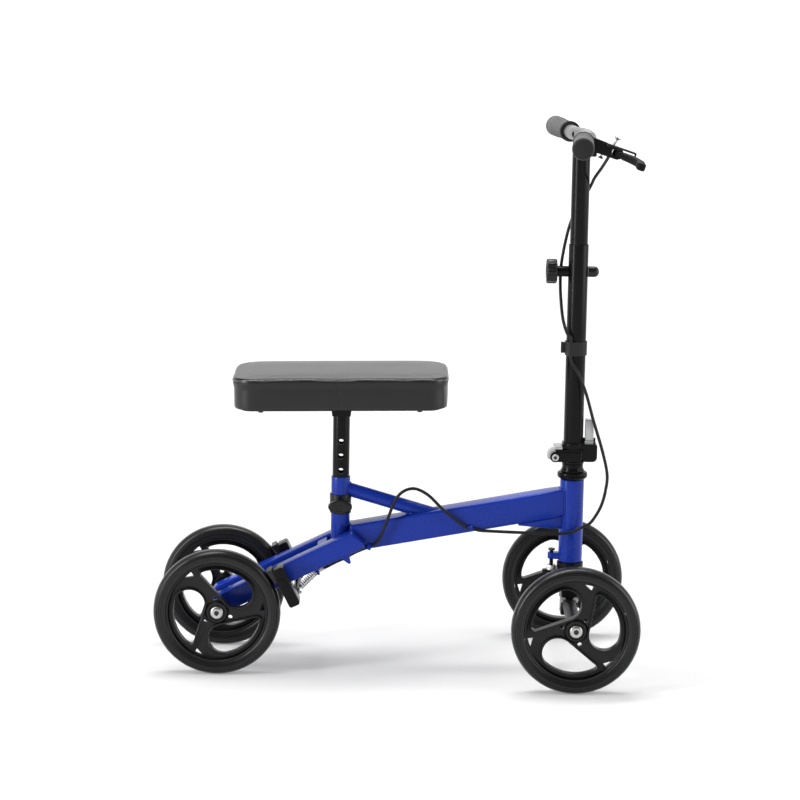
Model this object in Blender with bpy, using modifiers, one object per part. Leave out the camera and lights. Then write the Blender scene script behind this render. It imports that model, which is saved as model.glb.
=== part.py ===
# Folding knee walker: a padded knee rest on a four-wheeled frame with a folding steering column.
# Metres. +X points forwards, +Y to the rider's left, +Z up, with the floor at z = 0.
import math

import bmesh
import bpy
from mathutils import Matrix, Vector

# Clearances: between pieces that touch, and around a shaft that turns
GAP = 0.0003
RUN = 0.0005

# Sides of a wheel, of a tube and of a small pin
WHEEL_SIDES = 32
TUBE_SIDES = 16
PIN_SIDES = 10

# Wheels
WHEELBASE = 0.558
FRONT_TRACK = 0.335
REAR_TRACK = 0.173
WHEEL_RADIUS = 0.100
TYRE_WIDTH = 0.030
TYRE_DEPTH = 0.020
TYRE_SEAT_WIDTH = 0.024
RIM_RADIUS = WHEEL_RADIUS - TYRE_DEPTH
BAND_DEPTH = 0.0035
WEB_THICKNESS = 0.008
LIP_THICKNESS = 0.018
LIP_WIDTH = 0.0028
HUB_RADIUS = 0.0165
HUB_WIDTH = 0.018

# Swirl windows of a rim: a round fat end, an arc along the rim and a straight edge past the hub
WINDOW_COUNT = 3
WINDOW_RIM_INSET = 0.0115
WINDOW_RIM_RADIUS = RIM_RADIUS - WINDOW_RIM_INSET
WEB_AT_HUB = 0.004
WINDOW_ROUND_RADIUS = (WINDOW_RIM_RADIUS - HUB_RADIUS - WEB_AT_HUB) / 2
WINDOW_TIP_RADIUS = 0.004
WINDOW_EDGE_ANGLE = math.radians(88.0)
TRIANGLE_RIM_INSET = 0.0045
TRIANGLE_DEPTH = 0.0085
TRIANGLE_OUTER_RADIUS = RIM_RADIUS - TRIANGLE_RIM_INSET
TRIANGLE_INNER_RADIUS = TRIANGLE_OUTER_RADIUS - TRIANGLE_DEPTH
TRIANGLE_START_ANGLE = math.radians(77.9)
TRIANGLE_END_ANGLE = math.radians(89.4)
HUB_HOLE_RADIUS = 0.0035
HUB_HOLE_DISTANCE = 0.0225
HUB_HOLE_ANGLE = math.radians(54.4)
FRONT_WHEEL_TURN = math.radians(-8.0)
REAR_WHEEL_TURN = math.radians(-75.5)

# Axles and their bolts
AXLE_RADIUS = 0.006
FRONT_AXLE_TUBE_RADIUS = 0.011
REAR_SHOULDER_RADIUS = 0.009
BOLT_HEAD_RADIUS = 0.010
BOLT_HEAD_HEIGHT = 0.0037
BOLT_SOCKET_RADIUS = 0.0038
BOLT_SOCKET_DEPTH = 0.0022

# Rear rails: rectangular tubes either side of the main tube, running down to the rear axle
RAIL_SLOPE = math.radians(26.3)
RAIL_DEPTH = 0.031
RAIL_WIDTH = 0.030
RAIL_CORNER = 0.003
RAIL_TOP_END_X = -0.0705
RAIL_BOTTOM_END_X = -0.047
BRIDGE_THICKNESS = 0.004
BRIDGE_LENGTH = 0.016
BRIDGE_DROP = 0.002

# Main tube
MAIN_SLOPE = math.radians(10.6)
MAIN_WIDTH = 0.040
MAIN_DEPTH = 0.0430
MAIN_CORNER = 0.004
MAIN_TOP_AT_SLEEVE = 0.2255
MAIN_MITRE = 0.008
TUBE_WALL = 0.002

# Head tube, its gusset, its lug and the stop bolt of the steering
HEAD_RADIUS = 0.01885
HEAD_BORE_RADIUS = 0.0155
HEAD_BOTTOM = 0.170
HEAD_TOP = 0.303
GUSSET_WIDTH = 0.034
GUSSET_LENGTH = 0.066
GUSSET_DEPTH = 0.0215
LUG_WIDTH = 0.016
LUG_REACH = 0.0205
LUG_BOTTOM = 0.173
LUG_HEIGHT = 0.010
STOP_BOLT_DISTANCE = 0.0297
STOP_BOLT_RADIUS = 0.00325
STOP_BOLT_LENGTH = 0.028
STOP_HEAD_RADIUS = 0.0055
STOP_HEAD_HEIGHT = 0.003
STOP_NUT_RADIUS = 0.0078
STOP_NUT_HEIGHT = 0.0065

# Seat sleeve and brace
SEAT_X = -0.0888
SLEEVE_RADIUS = 0.015
SLEEVE_BOTTOM = 0.185
SLEEVE_TOP = 0.302
BRACE_RADIUS = 0.011
BRACE_SLOPE = math.radians(-16.0)
BRACE_HEIGHT_AT_SLEEVE = 0.2845
BRACE_REACH = 0.165

# Cable clips along the frame
CLIP_RADIUS = 0.0048
CLIP_BORE_RADIUS = 0.0033
CLIP_LENGTH = 0.007
CLIP_FRONT_SLOPE = math.radians(-13.0)
CLIP_REAR_SLOPE = math.radians(22.0)
TAB_LENGTH = 0.017
TAB_DEPTH = 0.010
TAB_THICKNESS = 0.003
TAB_X = -0.0795

# Headset
STEERER_RADIUS = 0.0127
CUP_LOWER_RADIUS = 0.021
CUP_LOWER_BOTTOM = 0.157
CUP_UPPER_RADIUS = 0.024
CUP_UPPER_TOP = 0.316
NECK_RADIUS = 0.0175
NECK_WAIST_RADIUS = 0.0165
NECK_TOP = 0.3285

# Fork
FORK_LENGTH_X = 0.027
FORK_WIDTH = 0.036
FORK_DROP = 0.016
FORK_BOTTOM = WHEEL_RADIUS - FORK_DROP
FORK_CORNER = 0.003
CROWN_REACH = 0.044
CROWN_WIDTH = 0.032
CROWN_TOP = 0.155
CROWN_THICKNESS = 0.005

# Fold hinge: ears on the fork side, a knuckle plate and a head with a latch block on the column side
PIVOT_BACK = 0.0288
PIVOT_Z = 0.3405
EAR_RADIUS = 0.008
HINGE_WIDTH = 0.034
KNUCKLE_RADIUS = 0.012
KNUCKLE_INNER_RADIUS = 0.0075
KNUCKLE_WIDTH = 0.022
KNUCKLE_PLATE = 0.003
BASE_BOTTOM = 0.333
BASE_TOP = 0.3492
BASE_FRONT = 0.013
NECK_FLANGE_RADIUS = 0.0165
HINGE_HEAD_TOP = 0.3625
LATCH_BACK = 0.0142
LATCH_FRONT = 0.0375
LATCH_BOTTOM = 0.333
LATCH_TOP = 0.361
LATCH_WIDTH = 0.026
LATCH_CORNER = 0.0065
LATCH_EAR_HEIGHT = 0.009
LATCH_EAR_THICKNESS = 0.0027
HINGE_PIN_RADIUS = 0.003
HINGE_PIN_HEAD_RADIUS = 0.0055
HINGE_PIN_HEAD_HEIGHT = 0.003
LATCH_PIN_RADIUS = 0.002
LEVER_LENGTH = 0.034
LEVER_WIDTH = 0.012

# Column and handlebar post
COLUMN_RADIUS = 0.0155
COLUMN_TOP = 0.678
POST_RADIUS = 0.014
POST_WALL = 0.0015
POST_BOTTOM = 0.478
POST_TOP = 0.8425
KNOB_Z = 0.635
BOSS_RADIUS = 0.0085
BOSS_END = 0.033
KNOB_RADIUS = 0.0195
KNOB_THICKNESS = 0.017
KNOB_LOBES = 8
KNOB_LOBE_DEPTH = 0.0012
KNOB_CHAMFER = 0.003
SCREW_RADIUS = 0.004
NUT_RADIUS = 0.0085
NUT_LENGTH = 0.0172
STRAP_BOTTOM = 0.503
STRAP_HEIGHT = 0.022
STRAP_THICKNESS = 0.0016
STRAP_TAIL = 0.007

# Handlebar, grips and brake lever
BAR_ABOVE_POST = 0.003
BAR_Z = POST_TOP + BAR_ABOVE_POST
BAR_RADIUS = 0.0111
BAR_CENTRE_X = 0.0095
BAR_GRIP_X = -0.0078
BAR_END_X = -0.0211
GRIP_START = 0.107
GRIP_END = 0.235
BAR_BEND_START = 0.018
BAR_BEND_END = 0.070
BAR_YAW = math.radians(1.5)
GRIP_RADIUS = 0.0165
GRIP_GROOVE = 0.0012
GRIP_RINGS = 3
GRIP_FLANGE_LENGTH = 0.009
GRIP_CAP = 0.003
LEVER_Y = -0.092
LEVER_SLOPE = math.radians(18.0)
CLAMP_RADIUS = 0.0130
CLAMP_WIDTH = 0.020
BRACKET_LENGTH = 0.058
BRACKET_DEPTH = 0.020
LEVER_SLOT = 0.0086
BLADE_THICKNESS = 0.008
BLADE_WIDTH = 0.013
BLADE_END_REACH = 0.0915
BLADE_END_Y = -0.192
BLADE_BEND_Y = -0.050
LEVER_PIVOT = 0.056
LEVER_PIVOT_RADIUS = 0.003
PARKING_START = 0.036
PARKING_LENGTH = 0.046
PARKING_THICKNESS = 0.0028
PARKING_WIDTH = 0.010
BAR_BOLT_RADIUS = 0.0065
BAR_BOLT_LENGTH = 0.0095
BAR_BOLT_DROP = 0.021
BAR_BOLT_Z = POST_TOP - BAR_BOLT_DROP

# Knee rest
PAD_LENGTH = 0.3355
PAD_WIDTH = 0.175
PAD_BOTTOM = 0.4257
PAD_THICKNESS = 0.0483
PAD_CORNER = 0.027
PAD_EDGE = 0.008
PAD_CENTRE = -0.0005
BOARD_INSET = 0.012
BOARD_THICKNESS = 0.0052
BRACKET_TOP_LENGTH = 0.062
BRACKET_BOTTOM_RADIUS = 0.0165
BRACKET_BOTTOM = 0.401
SEAT_BRACKET_WIDTH = 0.060
SEAT_POST_RADIUS = 0.0133
SEAT_POST_WALL = 0.0016
SEAT_POST_BOTTOM = 0.212
POST_HOLE_RADIUS = 0.0045
POST_HOLE_TOP = 0.3595
POST_HOLE_PITCH = 0.0234
POST_HOLE_COUNT = 5
COLLAR_RADIUS = 0.0172
COLLAR_BOTTOM = 0.243
COLLAR_HEIGHT = 0.031
SEAT_KNOB_RADIUS = 0.0125
SEAT_KNOB_SPAN = 0.038
SEAT_KNOB_EAR_RADIUS = 0.0065
SEAT_KNOB_THICKNESS = 0.013
SEAT_KNOB_STEM = 0.006

# Rear brake
BRAKE_TYRE_ROOM = 0.008
BRAKE_ARM_BACK = WHEEL_RADIUS + BRAKE_TYRE_ROOM
BRAKE_PIVOT_INSET = 0.0047
BRAKE_PIVOT_ALONG = BRAKE_ARM_BACK + BRAKE_PIVOT_INSET
BRAKE_ARM_DEPTH = 0.020
BRAKE_ARM_UP = 0.0235
BRAKE_ARM_DOWN = 0.0455
BRAKE_ARM_INNER = 0.070
BRAKE_ARM_WIDTH = 0.031
BRAKE_ARM_CORNER = 0.004
BRAKE_SHAFT_RADIUS = 0.004
BRAKE_SHOULDER_RADIUS = 0.007
BRAKE_BAR_RADIUS = 0.0055
BRAKE_BAR_DROP = 0.0395
BRAKE_BAR_AHEAD = 0.009
BRAKE_PAD_START = 0.003
BRAKE_PAD_END = 0.0262
BRAKE_PAD_WIDTH = 0.028
BRAKE_PAD_GAP = 0.0025
STOP_PLATE_AHEAD = 0.052
STOP_PLATE_ALONG = BRAKE_ARM_BACK + STOP_PLATE_AHEAD
STOP_PLATE_THICKNESS = 0.003
STOP_PLATE_DROP = 0.0325
STOP_BORE_DROP = 0.0262
STOP_TAB_WIDTH = 0.014
SPRING_RADIUS = 0.0048
SPRING_WIRE_RADIUS = 0.0009
SPRING_TURNS = 5
SPRING_POINTS_PER_TURN = 8

# Brake cable: its housing, and the route's points from the lever to the strap and on to the frame
CABLE_RADIUS = 0.0025
CABLE_STEP = 0.0155
CABLE_END_Y = -0.006
STRAP_CABLE = (0.2700, -0.0163)
STRAP_CABLE_Z = 0.514
CLIP_FRONT = (0.119, -0.0239, 0.2249)
CLIP_REAR = (-0.0422, -0.0244, 0.1925)
CABLE_DROP = 0.0183
UPPER_END = 0.8272
UPPER_ROUTE = [
    (0.3166, -0.0820, 0.8272), (0.3140, -0.070, 0.8185), (0.3075, -0.045, 0.8020), (0.2998, -0.014, 0.7840),
    (0.2967, 0.004, 0.7725),
    (0.2915, 0.0135, 0.760), (0.2790, 0.0195, 0.738), (0.2665, 0.0195, 0.710), (0.2580, 0.0165, 0.675),
    (0.2528, 0.0130, 0.640), (0.2522, 0.0085, 0.612), (0.2534, 0.000, 0.588), (0.2566, -0.0085, 0.561),
    (0.2630, -0.0145, 0.540), (0.2690, -0.0163, 0.534), (*STRAP_CABLE, 0.5270),
    (*STRAP_CABLE, STRAP_CABLE_Z),
]
LOWER_ROUTE = [
    (*STRAP_CABLE, 0.5134), (*STRAP_CABLE, 0.5000), (0.2740, -0.0180, 0.490), (0.2830, -0.0205, 0.475),
    (0.2955, -0.0205, 0.4447),
    (0.3076, -0.0205, 0.404), (0.3232, -0.022, 0.355), (0.332, -0.024, 0.318), (0.331, -0.025, 0.294),
    (0.324, -0.026, 0.265), (0.309, -0.0265, 0.239), (0.2956, -0.0255, 0.2303), (0.279, -0.0235, 0.2218),
    (0.2572, -0.0245, 0.2186), (0.230, -0.0262, 0.2195), (0.1936, -0.0262, 0.2202), (0.138, -0.0240, 0.2216),
    (0.128, -0.0239, 0.2230), CLIP_FRONT, (0.110, -0.0241, 0.2273), (0.085, -0.027, 0.247),
    (0.0725, -0.028, 0.2573), (0.0498, -0.030, 0.2796), (0.029, -0.031, 0.2895), (0.0117, -0.031, 0.2855),
    (0.0004, -0.030, 0.274), (-0.0068, -0.029, 0.2577), (-0.0136, -0.028, 0.2386),
    (-0.0250, -0.0255, 0.2080), (-0.0330, -0.0243, 0.1965), CLIP_REAR,
]
# The last stretch under the rail: distance ahead of the stop along the rail, across, and height off the rail
STOP_ROUTE = [(0.0829, -0.0256, -0.0208), (0.0698, -0.029, -0.0196), (0.0519, -0.031, -0.0203),
              (0.0364, -0.0260, -0.0212)]

# Places that follow from the sizes
REAR_X = -WHEELBASE / 2
FRONT_X = WHEELBASE / 2
SLEEVE_BORE_RADIUS = SEAT_POST_RADIUS + GAP
COLUMN_BORE_RADIUS = POST_RADIUS + GAP
BOARD_BOTTOM = PAD_BOTTOM - GAP - BOARD_THICKNESS
PIVOT_X = FRONT_X - PIVOT_BACK
RAIL_INNER_Y = MAIN_WIDTH / 2 + GAP
RAIL_MIDDLE_Y = RAIL_INNER_Y + RAIL_WIDTH / 2
RAIL_OUTER_Y = RAIL_INNER_Y + RAIL_WIDTH
LATCH_LEVER_X = FRONT_X + (LATCH_BACK + LATCH_FRONT) / 2 - 0.0008
LATCH_PIN_Z = LATCH_TOP + 0.006
BAR_SWEEP = math.atan((BAR_GRIP_X - BAR_END_X) / (GRIP_END - GRIP_START))

# Colour, roughness and metallic value of each material
BLUE_PAINT = ("blue paint", (0.016, 0.030, 0.36), 0.25, 0.1)
BLACK_PAINT = ("black paint", (0.012, 0.012, 0.013), 0.35, 0.1)
BLACK_RUBBER = ("black rubber", (0.012, 0.012, 0.012), 0.7, 0.0)
BLACK_PLASTIC = ("black plastic", (0.015, 0.015, 0.016), 0.45, 0.0)
BLACK_STEEL = ("black steel", (0.02, 0.02, 0.021), 0.4, 0.7)
BRIGHT_STEEL = ("bright steel", (0.72, 0.72, 0.70), 0.25, 1.0)
ALUMINIUM = ("brushed aluminium", (0.62, 0.62, 0.63), 0.38, 1.0)
GREY_FOAM = ("grey foam", (0.09, 0.09, 0.095), 0.8, 0.0)
LEATHERETTE = ("black leatherette", (0.014, 0.014, 0.015), 0.4, 0.0)

TURNS = {
    "X": (0.0, math.pi / 2, 0.0),
    "Y": (math.pi / 2, 0.0, 0.0),
    "Z": (0.0, 0.0, 0.0),
    "XZ": (math.pi / 2, 0.0, 0.0),
    "XY": (0.0, 0.0, 0.0),
    "YZ": (math.pi / 2, 0.0, math.pi / 2),
}


# Scene and materials
def clear_scene():
    for obj in list(bpy.data.objects):
        bpy.data.objects.remove(obj, do_unlink=True)


def new_collection(name):
    collection = bpy.data.collections.new(name)
    bpy.context.scene.collection.children.link(collection)
    return collection


def paint(obj, finish):
    name, colour, roughness, metallic = finish
    material = bpy.data.materials.new(f"{name}, {obj.name}")
    material.use_nodes = True
    shader = material.node_tree.nodes["Principled BSDF"]
    shader.inputs["Base Color"].default_value = (*colour, 1.0)
    shader.inputs["Roughness"].default_value = roughness
    shader.inputs["Metallic"].default_value = metallic
    obj.data.materials.clear()
    obj.data.materials.append(material)
    return obj


def link(name, data, finish, centre=(0, 0, 0), turn=(0, 0, 0)):
    obj = bpy.data.objects.new(name, data)
    obj.location = centre
    obj.rotation_euler = turn
    if finish is None:
        tools.objects.link(obj)
        obj.hide_render = True
        obj.display_type = "WIRE"
    else:
        walker.objects.link(obj)
        paint(obj, finish)
    return obj


# Solids
def smooth(mesh, angle=35.0):
    mesh.shade_smooth()
    mesh.set_sharp_from_angle(angle=math.radians(angle))


def cylinder(name, radius, length, centre, axis, sides, finish=None):
    mesh = bpy.data.meshes.new(name)
    work = bmesh.new()
    bmesh.ops.create_cone(
        work, cap_ends=True, segments=sides, radius1=radius, radius2=radius, depth=length
    )
    work.to_mesh(mesh)
    work.free()
    smooth(mesh)
    return link(name, mesh, finish, centre, TURNS[axis])


def block(name, size, centre, finish=None, rounding=0.0, turn=(0, 0, 0)):
    mesh = bpy.data.meshes.new(name)
    work = bmesh.new()
    bmesh.ops.create_cube(work, size=1.0, matrix=Matrix.Diagonal((*size, 1.0)))
    work.to_mesh(mesh)
    work.free()
    obj = link(name, mesh, finish, centre, turn)
    if rounding:
        bevel = obj.modifiers.new("Rounding", "BEVEL")
        bevel.width = rounding
        bevel.segments = 2
    return obj


# A profile is (radius, height) from the top down the outer side, and up the inner side of a ring
def turned(name, profile, sides, centre=(0, 0, 0), axis="Z", finish=None):
    mesh = bpy.data.meshes.new(name)
    count = len(profile)
    edges = [(i, i + 1) for i in range(count - 1)]
    if profile[0][0] > 0:
        edges.append((count - 1, 0))
    mesh.from_pydata([(radius, 0, height) for radius, height in profile], edges, [])
    obj = link(name, mesh, finish, centre, TURNS[axis])
    screw = obj.modifiers.new("Turn", "SCREW")
    screw.steps = sides
    screw.render_steps = sides
    screw.use_merge_vertices = True
    screw.merge_threshold = 0.00001
    return obj


def tube_profile(outer, inner, bottom, top):
    return [(outer, top), (outer, bottom), (inner, bottom), (inner, top)]


def mesh_of(curve_object, finish):
    bpy.context.view_layer.update()
    shape = curve_object.evaluated_get(bpy.context.evaluated_depsgraph_get())
    mesh = bpy.data.meshes.new_from_object(shape)
    name = curve_object.name
    place = curve_object.matrix_world.copy()
    bpy.data.objects.remove(curve_object, do_unlink=True)
    work = bmesh.new()
    work.from_mesh(mesh)
    bmesh.ops.remove_doubles(work, verts=work.verts, dist=0.00001)
    bmesh.ops.dissolve_limit(work, angle_limit=math.radians(0.5), verts=work.verts, edges=work.edges)
    bmesh.ops.recalc_face_normals(work, faces=work.faces)
    if work.calc_volume(signed=True) < 0:
        bmesh.ops.reverse_faces(work, faces=work.faces)
    work.to_mesh(mesh)
    work.free()
    smooth(mesh)
    obj = link(name, mesh, finish)
    obj.matrix_world = place
    return obj


# Outlines lie in the named plane, with the thickness split evenly about the centre
def plate(name, outlines, thickness, centre=(0, 0, 0), plane="XZ", finish=None, rounding=0.0, turn=None):
    curve = bpy.data.curves.new(name, "CURVE")
    curve.dimensions = "2D"
    curve.fill_mode = "BOTH"
    curve.extrude = thickness / 2 - rounding
    curve.bevel_depth = rounding
    curve.bevel_resolution = 1
    curve.offset = -rounding
    for outline in outlines:
        spline = curve.splines.new("POLY")
        spline.points.add(len(outline) - 1)
        for point, (x, y) in zip(spline.points, outline):
            point.co = (x, y, 0, 1)
        spline.use_cyclic_u = True
    obj = bpy.data.objects.new(name, curve)
    walker.objects.link(obj)
    obj.location = centre
    obj.rotation_euler = turn or TURNS[plane]
    return mesh_of(obj, finish)


def wire(name, points, radius, finish=None, half_sides=2):
    curve = bpy.data.curves.new(name, "CURVE")
    curve.dimensions = "3D"
    curve.bevel_depth = radius
    curve.bevel_resolution = half_sides
    curve.use_fill_caps = True
    spline = curve.splines.new("POLY")
    spline.points.add(len(points) - 1)
    for point, place in zip(spline.points, points):
        point.co = (*place, 1)
    obj = bpy.data.objects.new(name, curve)
    walker.objects.link(obj)
    return mesh_of(obj, finish)


def combine(obj, tool, operation):
    modifier = obj.modifiers.new(operation.title(), "BOOLEAN")
    modifier.operation = operation
    modifier.solver = "EXACT"
    modifier.object = tool
    return obj


def cut(obj, *cutters):
    for cutter in cutters:
        combine(obj, cutter, "DIFFERENCE")
    return obj


def weld(obj, *pieces):
    for piece in pieces:
        combine(obj, piece, "UNION")
    return obj


# Outlines
def arc(centre, radius, start, end, steps):
    angles = [start + (end - start) * i / steps for i in range(steps + 1)]
    return [(centre[0] + radius * math.cos(a), centre[1] + radius * math.sin(a)) for a in angles]


def ring(centre, radius, sides):
    return arc(centre, radius, 0, 2 * math.pi * (1 - 1 / sides), sides - 1)


def fillet(before, corner, after, radius, steps=3):
    corner = Vector(corner)
    back = (Vector(before) - corner).normalized()
    ahead = (Vector(after) - corner).normalized()
    half = back.angle(ahead) / 2
    centre = corner + (back + ahead).normalized() * radius / math.sin(half)
    start = corner + back * radius / math.tan(half) - centre
    end = corner + ahead * radius / math.tan(half) - centre
    first = math.atan2(start.y, start.x)
    sweep = math.atan2(start.cross(end), start.dot(end))
    return arc(centre, radius, first, first + sweep, steps)


# Each corner is (x, y, radius)
def rounded(corners, steps=3):
    outline = []
    for i, (x, y, radius) in enumerate(corners):
        before = corners[i - 1][:2]
        after = corners[(i + 1) % len(corners)][:2]
        outline += fillet(before, (x, y), after, radius, steps) if radius else [(x, y)]
    return outline


# The outline of a belt around two circles
def belt(first, first_radius, second, second_radius, steps=8):
    first = Vector(first)
    second = Vector(second)
    along = math.atan2(*(second - first).yx)
    lean = math.acos((first_radius - second_radius) / (second - first).length)
    far = arc(first, first_radius, along + lean, along - lean + 2 * math.pi, steps)
    return far + arc(second, second_radius, along - lean, along + lean, steps)


def turned_point(radius, angle):
    return (radius * math.cos(angle), radius * math.sin(angle))


# A smooth curve through the route's points, read at even steps
def smooth_route(route, step):
    points = [Vector(p) for p in route]
    points = [2 * points[0] - points[1]] + points + [2 * points[-1] - points[-2]]
    fine = []
    for a, b, c, d in zip(points, points[1:], points[2:], points[3:]):
        for i in range(12):
            t = i / 12
            fine.append(
                0.5 * (2 * b + (c - a) * t + (2 * a - 5 * b + 4 * c - d) * t * t
                       + (3 * b - a - 3 * c + d) * t ** 3)
            )
    fine.append(points[-2])
    lengths = [0.0]
    for a, b in zip(fine, fine[1:]):
        lengths.append(lengths[-1] + (b - a).length)
    count = max(2, round(lengths[-1] / step))
    route_points = []
    index = 0
    for i in range(count + 1):
        target = lengths[-1] * i / count
        while index < len(fine) - 2 and lengths[index + 1] < target:
            index += 1
        share = (target - lengths[index]) / (lengths[index + 1] - lengths[index])
        route_points.append(fine[index].lerp(fine[index + 1], min(1.0, share)))
    return route_points


# Wheels
def window_outline(start, grow=0.0):
    round_radius = WINDOW_ROUND_RADIUS + grow
    rim_radius = WINDOW_RIM_RADIUS + grow
    centre = Vector(turned_point(WINDOW_RIM_RADIUS - WINDOW_ROUND_RADIUS, start))
    edge = Vector(turned_point(1.0, start + WINDOW_EDGE_ANGLE))
    touch = start + WINDOW_EDGE_ANGLE + math.pi / 2
    foot = centre + Vector(turned_point(round_radius, touch))
    reach = -foot.dot(edge) + math.sqrt(foot.dot(edge) ** 2 + rim_radius ** 2 - foot.length_squared)
    tip = foot + edge * reach
    tip_angle = math.atan2(tip.y, tip.x)
    sweep = (tip_angle - start) % (2 * math.pi)
    outer = arc((0, 0), rim_radius, start, start + sweep * 0.85, 4)
    corner = fillet(outer[-1], tip, foot, WINDOW_TIP_RADIUS + grow, 2)
    return outer + corner + arc(centre, round_radius, touch, start + 1.93 * math.pi, 5)


def tyre_profile():
    outer = WHEEL_RADIUS
    inner = RIM_RADIUS + GAP
    half = TYRE_WIDTH / 2
    seat = TYRE_SEAT_WIDTH / 2
    side = inner + (outer - inner) * 0.45
    shoulder = inner + (outer - inner) * 0.80
    right = [(inner, seat), (side, half), (shoulder, half * 0.78), (outer, half * 0.33)]
    left = [(radius, -height) for radius, height in reversed(right)]
    return right[1:] + left + right[:1]


def rim(name, turn, centre):
    starts = [turn + i * 2 * math.pi / WINDOW_COUNT for i in range(WINDOW_COUNT)]
    outlines = [ring((0, 0), RIM_RADIUS - BAND_DEPTH / 2, WHEEL_SIDES),
                ring((0, 0), (HUB_RADIUS + AXLE_RADIUS) / 2, PIN_SIDES)]
    for start in starts:
        outlines.append(window_outline(start, LIP_WIDTH / 2))
        outlines.append([
            turned_point(TRIANGLE_INNER_RADIUS, start + TRIANGLE_START_ANGLE),
            turned_point(TRIANGLE_OUTER_RADIUS, start + TRIANGLE_START_ANGLE),
            turned_point(TRIANGLE_OUTER_RADIUS - 0.001, start + TRIANGLE_END_ANGLE),
        ])
        outlines.append(ring(turned_point(HUB_HOLE_DISTANCE, start + HUB_HOLE_ANGLE), HUB_HOLE_RADIUS, 6))
    web = plate(name, outlines, WEB_THICKNESS, centre, finish=BLACK_PLASTIC)
    band = turned(
        f"{name} band",
        tube_profile(RIM_RADIUS, RIM_RADIUS - BAND_DEPTH, -TYRE_SEAT_WIDTH / 2, TYRE_SEAT_WIDTH / 2),
        WHEEL_SIDES, centre, "Y",
    )
    hub = turned(
        f"{name} hub", tube_profile(HUB_RADIUS, AXLE_RADIUS + RUN, -HUB_WIDTH / 2, HUB_WIDTH / 2),
        PIN_SIDES + 4, centre, "Y",
    )
    weld(web, band, hub)
    for start in starts:
        lip = [window_outline(start, LIP_WIDTH), window_outline(start)]
        weld(web, plate(f"{name} lip", lip, LIP_THICKNESS, centre))


def wheel(place, x, y, turn):
    centre = (x, y, WHEEL_RADIUS)
    turned(f"tyre_{place}", tyre_profile(), WHEEL_SIDES, centre, "Y", BLACK_RUBBER)
    rim(f"rim_{place}", turn, centre)


def wheel_bolt(name, x, y):
    side = math.copysign(1.0, y)
    face = abs(y) + HUB_WIDTH / 2 + GAP
    edge = BOLT_HEAD_HEIGHT * 0.35
    profile = [(0, BOLT_HEAD_HEIGHT), (BOLT_HEAD_RADIUS - edge, BOLT_HEAD_HEIGHT),
               (BOLT_HEAD_RADIUS, BOLT_HEAD_HEIGHT - edge), (BOLT_HEAD_RADIUS, 0), (0, 0)]
    head = turned(name, profile, PIN_SIDES, (x, side * face, WHEEL_RADIUS), "Y", BRIGHT_STEEL)
    if side > 0:
        head.rotation_euler = (-math.pi / 2, 0, 0)
    depth = side * (face + BOLT_HEAD_HEIGHT)
    socket = cylinder(f"{name} socket", BOLT_SOCKET_RADIUS, 2 * BOLT_SOCKET_DEPTH, (x, depth, WHEEL_RADIUS), "Y", 6)
    return cut(head, socket)


def axle(name, x, track, shoulder_radius):
    end = track / 2 + HUB_WIDTH / 2
    shoulder = track / 2 - HUB_WIDTH / 2 - GAP
    profile = [(0, end), (AXLE_RADIUS, end), (AXLE_RADIUS, shoulder), (shoulder_radius, shoulder)]
    profile += [(radius, -height) for radius, height in reversed(profile)]
    return turned(name, profile, TUBE_SIDES, (x, 0, WHEEL_RADIUS), "Y", BLACK_STEEL)


# Frame
def rail_point(along, up=0.0):
    x = REAR_X + along * math.cos(RAIL_SLOPE) - up * math.sin(RAIL_SLOPE)
    z = WHEEL_RADIUS + along * math.sin(RAIL_SLOPE) + up * math.cos(RAIL_SLOPE)
    return (x, z)


def rail_along(x, up):
    return (x - REAR_X + up * math.sin(RAIL_SLOPE)) / math.cos(RAIL_SLOPE)


def main_top(x):
    return MAIN_TOP_AT_SLEEVE + (x - SEAT_X - SLEEVE_RADIUS) * math.tan(MAIN_SLOPE)


def main_bottom(x):
    return main_top(x) - MAIN_DEPTH / math.cos(MAIN_SLOPE)


def main_tube():
    rear = SEAT_X + SLEEVE_RADIUS + GAP
    front = FRONT_X - HEAD_RADIUS + MAIN_MITRE
    outline = [(rear, main_bottom(rear)), (front, main_bottom(front)),
               (front, main_top(front)), (rear, main_top(rear))]
    tube = plate("main_tube", [outline], MAIN_WIDTH, finish=BLUE_PAINT, rounding=MAIN_CORNER)
    mitre = cylinder("main tube mitre", HEAD_RADIUS + GAP, 1.0, (FRONT_X, 0, HEAD_TOP), "Z", TUBE_SIDES)
    wall = TUBE_WALL / math.cos(MAIN_SLOPE)
    start = rear - MAIN_MITRE
    inside = [(start, main_bottom(start) + wall), (front + MAIN_MITRE, main_bottom(front + MAIN_MITRE) + wall),
              (front + MAIN_MITRE, main_top(front + MAIN_MITRE) - wall), (start, main_top(start) - wall)]
    cut(tube, mitre, plate("main tube room", [inside], MAIN_WIDTH - 2 * TUBE_WALL))
    for name, place, angle in (("front", CLIP_FRONT, CLIP_FRONT_SLOPE), ("rear", CLIP_REAR, CLIP_REAR_SLOPE)):
        slope = (0, math.pi / 2 - angle, 0)
        clip = cylinder(f"{name} clip", CLIP_RADIUS, CLIP_LENGTH, place, "Z", PIN_SIDES)
        clip.rotation_euler = slope
        bore = cylinder(f"{name} clip bore", CLIP_BORE_RADIUS, 3 * CLIP_LENGTH, place, "Z", PIN_SIDES)
        bore.rotation_euler = slope
        weld(tube, clip)
        cut(tube, bore)


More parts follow.
